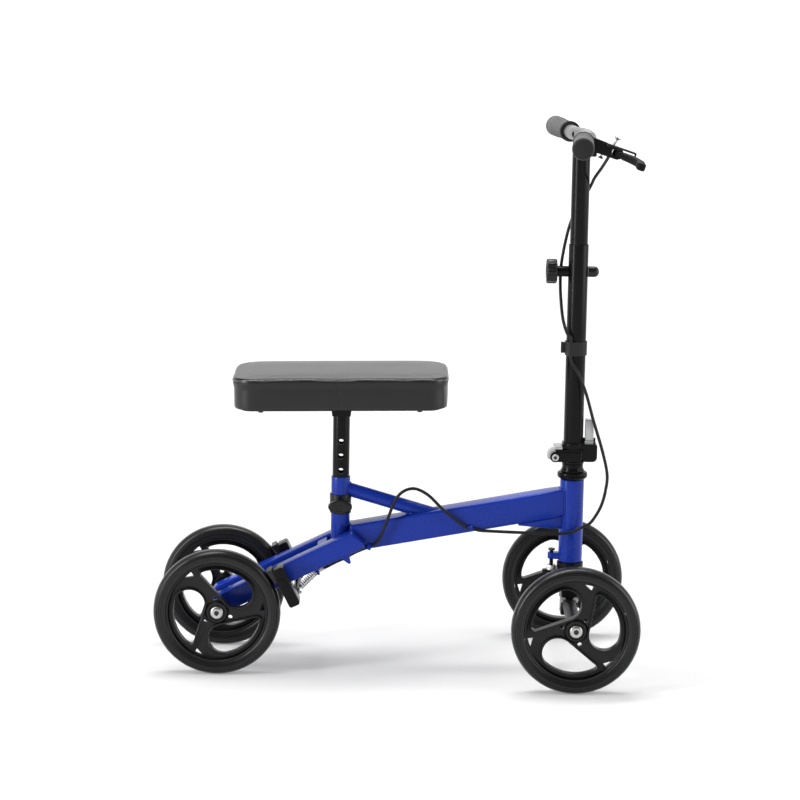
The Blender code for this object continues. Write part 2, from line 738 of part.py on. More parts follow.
def rear_rail(name, side):
    half = RAIL_DEPTH / 2
    top = rail_point(rail_along(RAIL_TOP_END_X, half), half)
    bottom = rail_point(rail_along(RAIL_BOTTOM_END_X, -half), -half)
    back = math.pi / 2 + RAIL_SLOPE
    outline = [bottom, top] + arc((REAR_X, WHEEL_RADIUS), half, back, back + math.pi, 8)
    rail = plate(name, [outline], RAIL_WIDTH, (0, side * RAIL_MIDDLE_Y, 0),
                 finish=BLUE_PAINT, rounding=RAIL_CORNER)
    if side < 0:
        weld(rail, cable_tab())
    inner = half - TUBE_WALL
    near = RAIL_CORNER + half
    far = rail_along(RAIL_BOTTOM_END_X, -half) - 2 * RAIL_DEPTH
    inside = [rail_point(near, -inner), rail_point(far, -inner), rail_point(far, inner), rail_point(near, inner)]
    cut(rail, plate(f"{name} room", [inside], RAIL_WIDTH - 2 * TUBE_WALL, (0, side * RAIL_MIDDLE_Y, 0)))
    axle_bore = ring((REAR_X, WHEEL_RADIUS), REAR_SHOULDER_RADIUS + GAP, TUBE_SIDES)
    shaft_bore = ring(rail_point(BRAKE_PIVOT_ALONG), BRAKE_SHOULDER_RADIUS + GAP, PIN_SIDES)
    return cut(rail, plate(f"{name} bores", [axle_bore, shaft_bore], 4 * RAIL_OUTER_Y))


# A small triangle under the right rail keeps the cable beside the frame
def cable_tab():
    depth = RAIL_DEPTH / 2
    start = rail_along(TAB_X - TAB_LENGTH / 2, -depth)
    end = start + TAB_LENGTH
    outline = [rail_point(start, 0.003 - depth), rail_point(end - TAB_LENGTH / 2, -depth - TAB_DEPTH),
               rail_point(end, -depth - TAB_DEPTH * 0.8), rail_point(end, 0.003 - depth)]
    return plate("cable tab", [outline], TAB_THICKNESS, (0, -RAIL_OUTER_Y + 2 * TAB_THICKNESS, 0))


def rail_bridge():
    end = rail_along(SEAT_X - SLEEVE_RADIUS - GAP, 0)
    up = RAIL_DEPTH / 2 - BRIDGE_DROP
    outline = [rail_point(end - BRIDGE_LENGTH, up), rail_point(end - BRIDGE_LENGTH, up - BRIDGE_THICKNESS),
               rail_point(end, up - BRIDGE_THICKNESS), rail_point(end, up)]
    bridge = plate("rail_bridge", [outline], MAIN_WIDTH, finish=BLUE_PAINT)
    cut(bridge, cylinder("bridge mitre", SLEEVE_RADIUS + GAP, 1.0, (SEAT_X, 0, SLEEVE_TOP), "Z", TUBE_SIDES))


def head_tube():
    tube = turned("head_tube", tube_profile(HEAD_RADIUS, HEAD_BORE_RADIUS, HEAD_BOTTOM, HEAD_TOP),
                  TUBE_SIDES, (FRONT_X, 0, 0), finish=BLUE_PAINT)
    back = FRONT_X - STOP_BOLT_DISTANCE
    length = STOP_BOLT_DISTANCE - HEAD_BORE_RADIUS - 0.001
    outline = belt((back, 0), STOP_BOLT_RADIUS + 0.003, (back + length, 0), LUG_WIDTH / 2)
    bore = ring((back, 0), STOP_BOLT_RADIUS + GAP, PIN_SIDES)
    lug = plate("lug", [outline, bore], LUG_HEIGHT, (0, 0, LUG_BOTTOM + LUG_HEIGHT / 2), "XY")
    wall = (HEAD_RADIUS + HEAD_BORE_RADIUS) / 2
    cut(lug, cylinder("lug mitre", wall, 1.0, (FRONT_X, 0, HEAD_TOP), "Z", TUBE_SIDES))
    weld(tube, lug)


def head_gusset():
    front = FRONT_X - HEAD_RADIUS + MAIN_MITRE / 2
    rear = FRONT_X - HEAD_RADIUS - GUSSET_LENGTH
    outline = [(rear, main_bottom(rear) - GAP), (rear, main_bottom(rear) - 0.003),
               (front, main_bottom(front) - GUSSET_DEPTH), (front, main_bottom(front) - GAP)]
    gusset = plate("head_gusset", [outline], GUSSET_WIDTH, finish=BLUE_PAINT)
    cut(gusset, cylinder("gusset mitre", HEAD_RADIUS + GAP, 1.0, (FRONT_X, 0, HEAD_TOP), "Z", TUBE_SIDES))


def steering_stop_bolt():
    low = LUG_BOTTOM - 0.0115
    head = low + STOP_BOLT_LENGTH - STOP_HEAD_HEIGHT
    nut = low - STOP_NUT_HEIGHT * 0.35
    profile = [(0, head + STOP_HEAD_HEIGHT), (STOP_HEAD_RADIUS, head + STOP_HEAD_HEIGHT),
               (STOP_HEAD_RADIUS, head), (STOP_BOLT_RADIUS, head), (STOP_BOLT_RADIUS, nut), (0, nut)]
    bolt = turned("steering_stop_bolt", profile, PIN_SIDES, (FRONT_X - STOP_BOLT_DISTANCE, 0, 0),
                  finish=BLACK_STEEL)
    hexagon = cylinder("stop nut", STOP_NUT_RADIUS, STOP_NUT_HEIGHT,
                       (FRONT_X - STOP_BOLT_DISTANCE, 0, CROWN_TOP + 2 * GAP + STOP_NUT_HEIGHT / 2), "Z", 6)
    weld(bolt, hexagon)


def seat_sleeve():
    turned("seat_sleeve", tube_profile(SLEEVE_RADIUS, SLEEVE_BORE_RADIUS, SLEEVE_BOTTOM, SLEEVE_TOP),
           TUBE_SIDES, (SEAT_X, 0, 0), finish=BLUE_PAINT)


def seat_brace():
    length = BRACE_REACH / math.cos(BRACE_SLOPE)
    middle = (SEAT_X + BRACE_REACH / 2, 0, BRACE_HEIGHT_AT_SLEEVE + BRACE_REACH / 2 * math.tan(BRACE_SLOPE))
    brace = cylinder("seat_brace", BRACE_RADIUS, length, middle, "Z", TUBE_SIDES, BLUE_PAINT)
    brace.rotation_euler = (0, math.pi / 2 - BRACE_SLOPE, 0)
    room = cylinder("sleeve room", SLEEVE_RADIUS + GAP, 1.0, (SEAT_X, 0, SLEEVE_TOP), "Z", TUBE_SIDES)
    left = SEAT_X - SLEEVE_RADIUS
    right = SEAT_X + 2 * BRACE_REACH
    below = [(left, 0), (right, 0), (right, main_top(right) + GAP), (left, main_top(left) + GAP)]
    collar = cylinder("collar room", COLLAR_RADIUS + GAP, COLLAR_HEIGHT + 2 * GAP,
                      (SEAT_X, 0, COLLAR_BOTTOM + COLLAR_HEIGHT / 2), "Z", TUBE_SIDES)
    cut(brace, room, collar, plate("main tube space", [below], 2 * MAIN_WIDTH))


def headset():
    centre = (FRONT_X, 0, 0)
    bore = STEERER_RADIUS + RUN
    low = CUP_LOWER_BOTTOM
    high = HEAD_BOTTOM - GAP
    turned("headset_cup_lower",
           [(HEAD_RADIUS, high), (CUP_LOWER_RADIUS, high - 0.0015), (CUP_LOWER_RADIUS, low + 0.002),
            (CUP_LOWER_RADIUS - 0.002, low), (bore, low), (bore, high)],
           TUBE_SIDES, centre, finish=BLACK_PAINT)
    low = HEAD_TOP + GAP
    high = CUP_UPPER_TOP
    turned("headset_cup_upper",
           [(NECK_RADIUS + 0.001, high), (CUP_UPPER_RADIUS, high - 0.002), (CUP_UPPER_RADIUS, high - 0.007),
            (HEAD_RADIUS, low), (bore, low), (bore, high)],
           TUBE_SIDES, centre, finish=BLACK_PAINT)
    low = CUP_UPPER_TOP + GAP
    high = NECK_TOP - GAP
    middle = (low + high) / 2
    turned("headset_sleeve",
           [(NECK_WAIST_RADIUS, high), (NECK_WAIST_RADIUS, middle), (NECK_RADIUS, low + 0.002),
            (NECK_RADIUS, low), (bore, low), (bore, high)],
           TUBE_SIDES, centre, finish=BLACK_PAINT)


def cable_stop():
    x, z = rail_point(STOP_PLATE_ALONG)
    half = MAIN_WIDTH / 2
    tab = STOP_TAB_WIDTH / 2
    bottom = -STOP_PLATE_DROP
    outline = rounded([
        (-half, 0.004, 0), (-half, -0.010, 0), (CABLE_END_Y - tab, -0.019, 0),
        (CABLE_END_Y - tab, bottom, 0.004), (CABLE_END_Y + tab, bottom, 0.004),
        (CABLE_END_Y + tab, -0.019, 0), (half, -0.010, 0), (half, 0.004, 0),
    ])
    bore = ring((CABLE_END_Y, -STOP_BORE_DROP), CABLE_RADIUS * 0.6, 8)
    turn = Matrix.Rotation(-RAIL_SLOPE, 3, "Y") @ Matrix(((0, 0, 1), (1, 0, 0), (0, 1, 0)))
    plate("cable_stop", [outline, bore], STOP_PLATE_THICKNESS, (x, 0, z), finish=BLUE_PAINT,
          turn=turn.to_euler())


def brake_shaft():
    x, z = rail_point(BRAKE_PIVOT_ALONG)
    end = BRAKE_ARM_INNER + BRAKE_ARM_WIDTH + 0.0025
    shoulder = BRAKE_ARM_INNER - GAP
    head = BRAKE_ARM_INNER + BRAKE_ARM_WIDTH + GAP
    profile = [(0, end), (BRAKE_SHOULDER_RADIUS, end), (BRAKE_SHOULDER_RADIUS, head), (BRAKE_SHAFT_RADIUS, head),
               (BRAKE_SHAFT_RADIUS, shoulder), (BRAKE_SHOULDER_RADIUS, shoulder)]
    profile += [(radius, -height) for radius, height in reversed(profile)]
    turned("brake_pivot_shaft", profile, PIN_SIDES, (x, 0, z), "Y", BLACK_STEEL)


# Fork and the fork side of the fold hinge
def fork():
    cylinder("steerer_tube", STEERER_RADIUS, NECK_TOP - CUP_LOWER_BOTTOM - GAP,
             (FRONT_X, 0, (NECK_TOP + CUP_LOWER_BOTTOM - GAP) / 2), "Z", TUBE_SIDES, BLACK_STEEL)
    top = CUP_LOWER_BOTTOM - GAP
    post = block("fork_post", (FORK_LENGTH_X, FORK_WIDTH, top - GAP - FORK_BOTTOM),
                 (FRONT_X, 0, (top - GAP + FORK_BOTTOM) / 2), BLACK_PAINT, FORK_CORNER)
    outline = belt((FRONT_X - CROWN_REACH + 0.006, 0), 0.006, (FRONT_X, 0), CROWN_WIDTH / 2)
    crown = plate("crown", [outline], CROWN_THICKNESS, (0, 0, CROWN_TOP - CROWN_THICKNESS / 2), "XY")
    weld(post, crown)
    cut(post, cylinder("front axle bore", FRONT_AXLE_TUBE_RADIUS + GAP, 2 * FORK_WIDTH,
                       (FRONT_X, 0, WHEEL_RADIUS), "Y", TUBE_SIDES))


def hinge_base():
    ear = (PIVOT_X, PIVOT_Z)
    front = FRONT_X + BASE_FRONT
    outline = arc(ear, EAR_RADIUS, math.radians(100), math.radians(290), 8)
    outline += [(PIVOT_X + 0.006, BASE_BOTTOM), (front - 0.002, BASE_BOTTOM), (front, BASE_BOTTOM + 0.002),
                (front, BASE_TOP), (PIVOT_X + 0.0045, BASE_TOP)]
    base = plate("hinge_base", [outline], HINGE_WIDTH, finish=BLACK_PAINT)
    spigot = BASE_FRONT - GAP
    flange = turned("hinge neck", [(0, BASE_BOTTOM + 0.003), (spigot, BASE_BOTTOM + 0.003),
                                   (spigot, BASE_BOTTOM - GAP), (NECK_FLANGE_RADIUS, BASE_BOTTOM - GAP),
                                   (NECK_FLANGE_RADIUS, NECK_TOP + 0.001), (NECK_FLANGE_RADIUS - 0.001, NECK_TOP),
                                   (0, NECK_TOP)], TUBE_SIDES, (FRONT_X, 0, 0))
    weld(base, flange)
    room = ring(ear, KNUCKLE_RADIUS + 2 * GAP, TUBE_SIDES)
    slot = plate("knuckle room", [room], KNUCKLE_WIDTH + 2 * GAP)
    bore = cylinder("hinge bore", HINGE_PIN_RADIUS + GAP, 2 * HINGE_WIDTH, (PIVOT_X, 0, PIVOT_Z), "Y", PIN_SIDES)
    cut(base, slot, bore)


def hinge_pin():
    end = HINGE_WIDTH / 2 + GAP
    tip = end + HINGE_PIN_HEAD_HEIGHT
    profile = [(0, tip), (HINGE_PIN_HEAD_RADIUS - 0.001, tip), (HINGE_PIN_HEAD_RADIUS, tip - 0.001),
               (HINGE_PIN_HEAD_RADIUS, end), (HINGE_PIN_RADIUS, end)]
    profile += [(radius, -height) for radius, height in reversed(profile)]
    turned("hinge_pin", profile, PIN_SIDES, (PIVOT_X, 0, PIVOT_Z), "Y", BRIGHT_STEEL)


# Column side of the fold hinge
def hinge_knuckle():
    ear = Vector((PIVOT_X, PIVOT_Z))
    low = BASE_TOP + GAP
    high = low + KNUCKLE_PLATE
    front = FRONT_X + LATCH_BACK - GAP
    plate_outline = [(PIVOT_X + 0.0035, low), (front, low), (front, high), (PIVOT_X + 0.0035, high)]
    knuckle = plate("hinge_knuckle", [plate_outline], HINGE_WIDTH - 0.001, finish=ALUMINIUM)
    eye = arc(ear, KNUCKLE_RADIUS, math.radians(90), math.radians(200), 8)
    eye += arc(ear, KNUCKLE_INNER_RADIUS, math.radians(215), math.radians(360), 8)
    eye += [(PIVOT_X + KNUCKLE_INNER_RADIUS, high - GAP / 2)]
    weld(knuckle, plate("knuckle eye", [eye], KNUCKLE_WIDTH))
    cut(knuckle, cylinder("knuckle bore", HINGE_PIN_RADIUS + GAP, 2 * HINGE_WIDTH,
                          (PIVOT_X, 0, PIVOT_Z), "Y", PIN_SIDES))


def hinge_head():
    low = BASE_TOP + KNUCKLE_PLATE + 2 * GAP
    back = FRONT_X + LATCH_BACK
    front = FRONT_X + LATCH_FRONT
    rear = FRONT_X - COLUMN_RADIUS - 0.002
    outline = rounded([
        (rear, low, 0), (back, low, 0), (back, LATCH_BOTTOM, 0), (front, LATCH_BOTTOM, LATCH_CORNER),
        (front, LATCH_TOP, 0.002), (back + 0.0022, LATCH_TOP, 0), (back + 0.0007, HINGE_HEAD_TOP, 0),
        (rear, HINGE_HEAD_TOP, 0.002),
    ])
    head = plate("hinge_head", [outline], LATCH_WIDTH, finish=BLACK_PAINT)
    disc = cylinder("head disc", HINGE_WIDTH / 2, HINGE_HEAD_TOP - low - 0.0002,
                    (FRONT_X, 0, (HINGE_HEAD_TOP + low) / 2), "Z", TUBE_SIDES)
    weld(head, disc)
    middle = (back + front) / 2
    bore = cylinder("latch bore", LATCH_PIN_RADIUS + GAP, LATCH_FRONT, (middle, 0, LATCH_PIN_Z), "X", 12)
    for x in (LATCH_LEVER_X - LEVER_WIDTH / 2 - LATCH_EAR_THICKNESS / 2 - GAP,
              LATCH_LEVER_X + LEVER_WIDTH / 2 + LATCH_EAR_THICKNESS / 2 + GAP):
        top = LATCH_TOP + LATCH_EAR_HEIGHT
        ear = rounded([(-0.006, LATCH_TOP - 0.002, 0), (0.006, LATCH_TOP - 0.002, 0),
                       (0.0045, top, 0.003), (-0.0045, top, 0.003)])
        weld(head, plate("latch ear", [ear], LATCH_EAR_THICKNESS, (x, 0, 0), "YZ"))
    cut(head, bore)


def latch_lever():
    length = LEVER_LENGTH
    outline = rounded([(-0.0045, -0.0028, 0.0025), (0.0045, -0.0028, 0.0025), (0.0055, length * 0.55, 0.003),
                       (0.0045, length, 0.003), (-0.0045, length, 0.003), (-0.0055, length * 0.55, 0.003)])
    lever = plate("latch_lever", [outline], LEVER_WIDTH, (LATCH_LEVER_X, 0, LATCH_PIN_Z), "YZ", ALUMINIUM, 0.001)
    reach = LEVER_WIDTH + 2 * LATCH_EAR_THICKNESS + 2 * GAP
    weld(lever, cylinder("latch pin", LATCH_PIN_RADIUS, reach, (LATCH_LEVER_X, 0, LATCH_PIN_Z), "X", 12))


# Column, strap and height clamp
def column_tube():
    low = HINGE_HEAD_TOP + GAP
    tube = turned("column_tube", tube_profile(COLUMN_RADIUS, COLUMN_BORE_RADIUS, low, COLUMN_TOP),
                  TUBE_SIDES, (FRONT_X, 0, 0), finish=BLACK_PAINT)
    length = BOSS_END - GAP
    boss = cylinder("clamp boss", BOSS_RADIUS, length, (FRONT_X - length / 2, 0, KNOB_Z), "X", PIN_SIDES)
    wall = (COLUMN_RADIUS + COLUMN_BORE_RADIUS) / 2
    cut(boss, cylinder("boss mitre", wall, 1.0, (FRONT_X, 0, KNOB_Z), "Z", TUBE_SIDES))
    weld(tube, boss)
    reach = BOSS_END - COLUMN_BORE_RADIUS + SCREW_RADIUS / 2
    cut(tube, cylinder("screw bore", SCREW_RADIUS + GAP, 2 * reach, (FRONT_X - BOSS_END, 0, KNOB_Z), "X", PIN_SIDES))


def height_nut():
    start = COLUMN_RADIUS + GAP
    bend = 0.55 * NUT_LENGTH
    dome = [(NUT_RADIUS * math.cos(a), bend + (NUT_LENGTH - bend) * math.sin(a))
            for a in [math.pi / 2 * (1 - i / 4) for i in range(4)]]
    profile = [(0, NUT_LENGTH)] + dome[1:] + [(NUT_RADIUS, bend), (NUT_RADIUS, 0), (0, 0)]
    turned("height_nut", profile, PIN_SIDES, (FRONT_X + start, 0, KNOB_Z), "X", BLACK_PLASTIC)


def height_knob():
    lobes = []
    for i in range(KNOB_LOBES * 4):
        swell = KNOB_LOBE_DEPTH * math.cos(i * math.pi / 2)
        lobes.append(turned_point(KNOB_RADIUS - KNOB_LOBE_DEPTH + swell, 2 * math.pi * i / (KNOB_LOBES * 4)))
    place = (FRONT_X - BOSS_END - KNOB_THICKNESS / 2, 0, KNOB_Z)
    knob = plate("height_knob", [lobes], KNOB_THICKNESS, place, "YZ", BLACK_PLASTIC, KNOB_CHAMFER)
    end = COLUMN_BORE_RADIUS + GAP
    length = BOSS_END + KNOB_THICKNESS / 2 - end
    weld(knob, cylinder("knob screw", SCREW_RADIUS, length, (FRONT_X - end - length / 2, 0, KNOB_Z), "X", PIN_SIDES))
    seat_origin(knob, (FRONT_X - BOSS_END, 0, KNOB_Z))


# A band around the column and the cable, with a free end behind and a tail in front
def cable_strap():
    centre = (FRONT_X, 0)
    cable = (STRAP_CABLE[0], STRAP_CABLE[1])
    inside = belt(centre, COLUMN_RADIUS + GAP, cable, CABLE_RADIUS + RUN, 16)
    wall = STRAP_THICKNESS + GAP
    outside = belt(centre, COLUMN_RADIUS + wall, cable, CABLE_RADIUS + wall, 16)
    middle = STRAP_BOTTOM + STRAP_HEIGHT / 2
    strap = plate("cable_strap", [outside], STRAP_HEIGHT, (0, 0, middle), "XY", BLACK_RUBBER)
    tail_x = FRONT_X - COLUMN_RADIUS - wall - STRAP_TAIL / 2 + 0.001
    weld(strap, block("strap end", (STRAP_TAIL, 0.009, STRAP_HEIGHT * 0.75), (tail_x, 0.003, middle)))
    cut(strap, plate("strap room", [inside], 2 * STRAP_HEIGHT, (0, 0, middle), "XY"))


# A moving piece keeps its origin on its joint
def seat_origin(obj, place):
    shift = Matrix.Translation(obj.matrix_world.inverted() @ Vector(place))
    obj.data.transform(shift.inverted())
    obj.matrix_world = obj.matrix_world @ shift


# Handlebar, in the frame of the bar: its origin is on the column's axis at the bar's height
def bar_x(y):
    y = abs(y)
    slope = -math.tan(BAR_SWEEP)
    if y >= BAR_BEND_END:
        return BAR_GRIP_X + slope * (y - GRIP_START)
    if y <= BAR_BEND_START:
        return BAR_CENTRE_X
    span = BAR_BEND_END - BAR_BEND_START
    t = (y - BAR_BEND_START) / span
    end = BAR_GRIP_X + slope * (BAR_BEND_END - GRIP_START)
    blend = t * t * (3 - 2 * t)
    return BAR_CENTRE_X + (end - BAR_CENTRE_X) * blend + slope * span * (t ** 3 - t ** 2)


def handlebar(frame):
    tip = GRIP_END - GRIP_CAP - GAP
    bend = [BAR_BEND_START + (BAR_BEND_END - BAR_BEND_START) * i / 5 for i in range(6)]
    half = [0.0] + bend + [tip]
    points = [(bar_x(y), -y, 0) for y in reversed(half)] + [(bar_x(y), y, 0) for y in half[1:]]
    bar = wire("handlebar", points, BAR_RADIUS, ALUMINIUM, 6)
    bar.parent = frame


def handlebar_post():
    post = turned("handlebar_post", tube_profile(POST_RADIUS, POST_RADIUS - POST_WALL, POST_BOTTOM, POST_TOP),
                  TUBE_SIDES, (FRONT_X, 0, 0), finish=BLACK_PAINT)
    cap = cylinder("post cap", POST_RADIUS - POST_WALL / 2, 0.004, (FRONT_X, 0, BAR_Z - BAR_RADIUS - 0.003),
                   "Z", TUBE_SIDES)
    start = POST_RADIUS - POST_WALL / 2
    boss = cylinder("bar bolt", BAR_BOLT_RADIUS, BAR_BOLT_LENGTH + POST_WALL / 2,
                    (FRONT_X + start + (BAR_BOLT_LENGTH + POST_WALL / 2) / 2, 0, BAR_BOLT_Z), "X", PIN_SIDES)
    saddle = cylinder("bar room", BAR_RADIUS + 2 * GAP, 4 * POST_RADIUS, (FRONT_X + BAR_CENTRE_X, 0, BAR_Z), "Y",
                      TUBE_SIDES)
    weld(post, cap, boss)
    cut(post, saddle)


def grip(name, side, frame):
    length = (GRIP_END - GRIP_START) / math.cos(BAR_SWEEP)
    bore = BAR_RADIUS + GAP
    profile = [(0, length), (GRIP_RADIUS - 0.003, length), (GRIP_RADIUS, length - 0.003)]
    for i in range(GRIP_RINGS):
        low = length - 0.012 - i * 0.0085
        profile += [(GRIP_RADIUS, low + 0.0035), (GRIP_RADIUS - GRIP_GROOVE, low + 0.0015), (GRIP_RADIUS, low - 0.0005)]
    body = GRIP_RADIUS - 0.001
    profile += [(body, GRIP_FLANGE_LENGTH + 0.0005), (GRIP_RADIUS, GRIP_FLANGE_LENGTH),
                (GRIP_RADIUS, 0.001), (GRIP_RADIUS - 0.001, 0), (bore, 0), (bore, length - GRIP_CAP),
                (0, length - GRIP_CAP)]
    obj = turned(name, profile, TUBE_SIDES, (bar_x(GRIP_START), side * GRIP_START, 0), finish=GREY_FOAM)
    heading = Vector((-math.sin(BAR_SWEEP), side * math.cos(BAR_SWEEP), 0))
    obj.rotation_euler = heading.to_track_quat("Z", "Y").to_euler()
    obj.parent = frame


# Brake lever, in the frame of its clamp: x runs forwards and down, y along the bar, z up
def lever_bracket(frame):
    bracket = cylinder("lever_bracket", CLAMP_RADIUS, CLAMP_WIDTH, (0, 0, 0), "Y", TUBE_SIDES, BLACK_PAINT)
    half = BRACKET_DEPTH / 2
    under = half - PARKING_THICKNESS - 2 * GAP
    start = PARKING_START - GAP
    outline = rounded([
        (BAR_RADIUS + 0.001, -half + 0.001, 0), (LEVER_PIVOT, -half + 0.001, 0.004),
        (BRACKET_LENGTH + 0.004, -half * 0.55, 0.003), (BRACKET_LENGTH + 0.004, under, 0.003),
        (start, under, 0), (start, half, 0.001), (BAR_RADIUS - 0.001, half + 0.001, 0), (BAR_RADIUS - 0.001, 0, 0),
    ])
    body = plate("bracket body", [outline], CLAMP_WIDTH - 0.002)
    pin = cylinder("lever pin", LEVER_PIVOT_RADIUS, 2 * under - 2 * GAP, (LEVER_PIVOT, 0, 0), "Z", PIN_SIDES)
    bore = cylinder("bar bore", BAR_RADIUS + GAP, 2 * CLAMP_WIDTH, (0, 0, 0), "Y", TUBE_SIDES)
    back = LEVER_PIVOT - 0.0106
    slot = block("lever slot", (0.060, 0.080, LEVER_SLOT), (back + 0.030, 0, 0))
    weld(bracket, body)
    cut(bracket, bore, slot)
    weld(bracket, pin)
    for obj in (bracket, body, pin, bore, slot):
        obj.parent = frame


def brake_lever(frame):
    p = LEVER_PIVOT
    end_y = BLADE_END_Y - LEVER_Y
    outline = rounded([
        (p - 0.0075, -0.0065, 0.004), (p - 0.0075, 0.0075, 0.005), (p + 0.008, 0.0075, 0.004),
        (BLADE_END_REACH - 0.006, -0.022, 0.012), (BLADE_END_REACH + 0.004, BLADE_BEND_Y, 0.03),
        (BLADE_END_REACH + 0.006, end_y, 0.006), (BLADE_END_REACH + 0.006 - BLADE_WIDTH, end_y, 0.006),
        (BLADE_END_REACH + 0.004 - BLADE_WIDTH, BLADE_BEND_Y - 0.002, 0.03), (p + 0.012, -0.028, 0.008),
    ])
    lever = plate("brake_lever", [outline], BLADE_THICKNESS, plane="XY", finish=BLACK_PAINT)
    bore = cylinder("lever bore", LEVER_PIVOT_RADIUS + GAP, 0.03, (p, 0, 0), "Z", PIN_SIDES)
    cut(lever, bore)
    seat_origin(lever, (p, 0, 0))
    for obj in (lever, bore):
        obj.parent = frame


def parking_tab(frame):
    start = PARKING_START
    end = start + PARKING_LENGTH
    high = BRACKET_DEPTH / 2
    low = high - PARKING_THICKNESS
    outline = rounded([
        (start, low, 0.001), (start, high, 0.001), (end, high, 0.002), (end, low - 0.006, 0.0008),
        (end - 0.0022, low - 0.006, 0.0008), (end - 0.0026, low, 0),
    ])
    tab = plate("parking_tab", [outline], PARKING_WIDTH, finish=BLACK_STEEL)
    seat_origin(tab, (start, 0, high))
    tab.parent = frame


# Knee rest
def knee_rest():
    x = (SEAT_X + PAD_CENTRE)
    half = PAD_LENGTH / 2
    side = PAD_WIDTH / 2
    outline = rounded([(x - half, -side, PAD_CORNER), (x + half, -side, PAD_CORNER),
                       (x + half, side, PAD_CORNER), (x - half, side, PAD_CORNER)], 5)
    plate("seat_pad", [outline], PAD_THICKNESS, (0, 0, PAD_BOTTOM + PAD_THICKNESS / 2), "XY",
          LEATHERETTE, PAD_EDGE)
    half -= BOARD_INSET
    side -= BOARD_INSET
    corner = PAD_CORNER - BOARD_INSET
    outline = rounded([(x - half, -side, corner), (x + half, -side, corner),
                       (x + half, side, corner), (x - half, side, corner)], 3)
    plate("seat_board", [outline], BOARD_THICKNESS, (0, 0, BOARD_BOTTOM + BOARD_THICKNESS / 2), "XY",
          BLACK_PLASTIC)


def seat_bracket():
    top = BOARD_BOTTOM - GAP
    half = BRACKET_TOP_LENGTH / 2
    side = BRACKET_BOTTOM_RADIUS
    outline = [(SEAT_X - half, top), (SEAT_X - half, top - 0.003), (SEAT_X - side, top - 0.003),
               (SEAT_X - side + 0.002, BRACKET_BOTTOM), (SEAT_X + side - 0.002, BRACKET_BOTTOM),
               (SEAT_X + side, top - 0.003), (SEAT_X + half, top - 0.003), (SEAT_X + half, top)]
    bracket = plate("seat_bracket", [outline], SEAT_BRACKET_WIDTH, finish=BLACK_PAINT)
    cheeks = block("bracket sides", (4 * side, SEAT_BRACKET_WIDTH, 0.03), (SEAT_X, 0, top - 0.003 - 0.015))
    keep = block("bracket middle", (5 * side, 2 * side, 0.04), (SEAT_X, 0, top - 0.018))
    cut(cheeks, keep)
    cut(bracket, cheeks)
    room = cylinder("post room", SEAT_POST_RADIUS + GAP, 0.06, (SEAT_X, 0, BRACKET_BOTTOM - 0.03 + 0.012), "Z",
                    TUBE_SIDES)
    cut(bracket, room)


def seat_post():
    top = BRACKET_BOTTOM + 0.012 - GAP
    inner = SEAT_POST_RADIUS - SEAT_POST_WALL
    post = turned("seat_post", tube_profile(SEAT_POST_RADIUS, inner, SEAT_POST_BOTTOM, top),
                  TUBE_SIDES, (SEAT_X, 0, 0), finish=BLACK_PAINT)
    for i in range(POST_HOLE_COUNT):
        place = (SEAT_X, 0, POST_HOLE_TOP - i * POST_HOLE_PITCH)
        cut(post, cylinder("post hole", POST_HOLE_RADIUS, 3 * SEAT_POST_RADIUS, place, "Y", 8))


def seat_clamp():
    outer = COLLAR_RADIUS
    low = COLLAR_BOTTOM
    high = low + COLLAR_HEIGHT
    bore = SLEEVE_RADIUS + GAP
    turned("seat_clamp_collar",
           [(outer - 0.001, high), (outer, high - 0.001), (outer, low + 0.001), (outer - 0.001, low),
            (bore, low), (bore, high)], TUBE_SIDES, (SEAT_X, 0, 0), finish=BLACK_PLASTIC)
    middle = (low + high) / 2
    start = COLLAR_RADIUS + GAP
    ear = SEAT_KNOB_EAR_RADIUS
    reach = SEAT_KNOB_SPAN / 2 - ear
    near = belt((-reach, 0), ear, (0, 0), SEAT_KNOB_RADIUS, 6)
    far = belt((0, 0), SEAT_KNOB_RADIUS, (reach, 0), ear, 6)
    y = -(start + SEAT_KNOB_STEM + SEAT_KNOB_THICKNESS / 2)
    knob = plate("seat_knob", [near], SEAT_KNOB_THICKNESS, (SEAT_X, y, middle), finish=BLACK_PLASTIC)
    weld(knob, plate("knob ear", [far], SEAT_KNOB_THICKNESS - 0.0002, (SEAT_X, y, middle)))
    weld(knob, cylinder("knob stem", BOSS_RADIUS, SEAT_KNOB_STEM + 0.004,
                        (SEAT_X, -(start + (SEAT_KNOB_STEM + 0.004) / 2), middle), "Y", PIN_SIDES))
    seat_origin(knob, (SEAT_X, -start, middle))


# Rear brake
def brake_yoke():
    back = BRAKE_ARM_BACK
    front = back + BRAKE_ARM_DEPTH
    r = BRAKE_ARM_CORNER
    outline = rounded([
        (*rail_point(back, -BRAKE_ARM_DOWN), r), (*rail_point(front, -BRAKE_ARM_DOWN), r),
        (*rail_point(front, BRAKE_ARM_UP), r), (*rail_point(back, BRAKE_ARM_UP), r),
    ])
    y = BRAKE_ARM_INNER + BRAKE_ARM_WIDTH / 2
    yoke = plate("brake_yoke", [outline], BRAKE_ARM_WIDTH, (0, -y, 0), finish=BLACK_PAINT)
    left = plate("left arm", [outline], BRAKE_ARM_WIDTH, (0, y, 0))
    x, z = rail_point(back + BRAKE_BAR_AHEAD, -BRAKE_BAR_DROP)
    bar = cylinder("brake bar", BRAKE_BAR_RADIUS, 2 * y, (x, 0, z), "Y", PIN_SIDES)
    x, z = rail_point(BRAKE_PIVOT_ALONG)
    bore = cylinder("brake bore", BRAKE_SHAFT_RADIUS + GAP, 4 * y, (x, 0, z), "Y", PIN_SIDES)
    weld(yoke, bar, left)
    cut(yoke, bore)
    seat_origin(yoke, (x, 0, z))


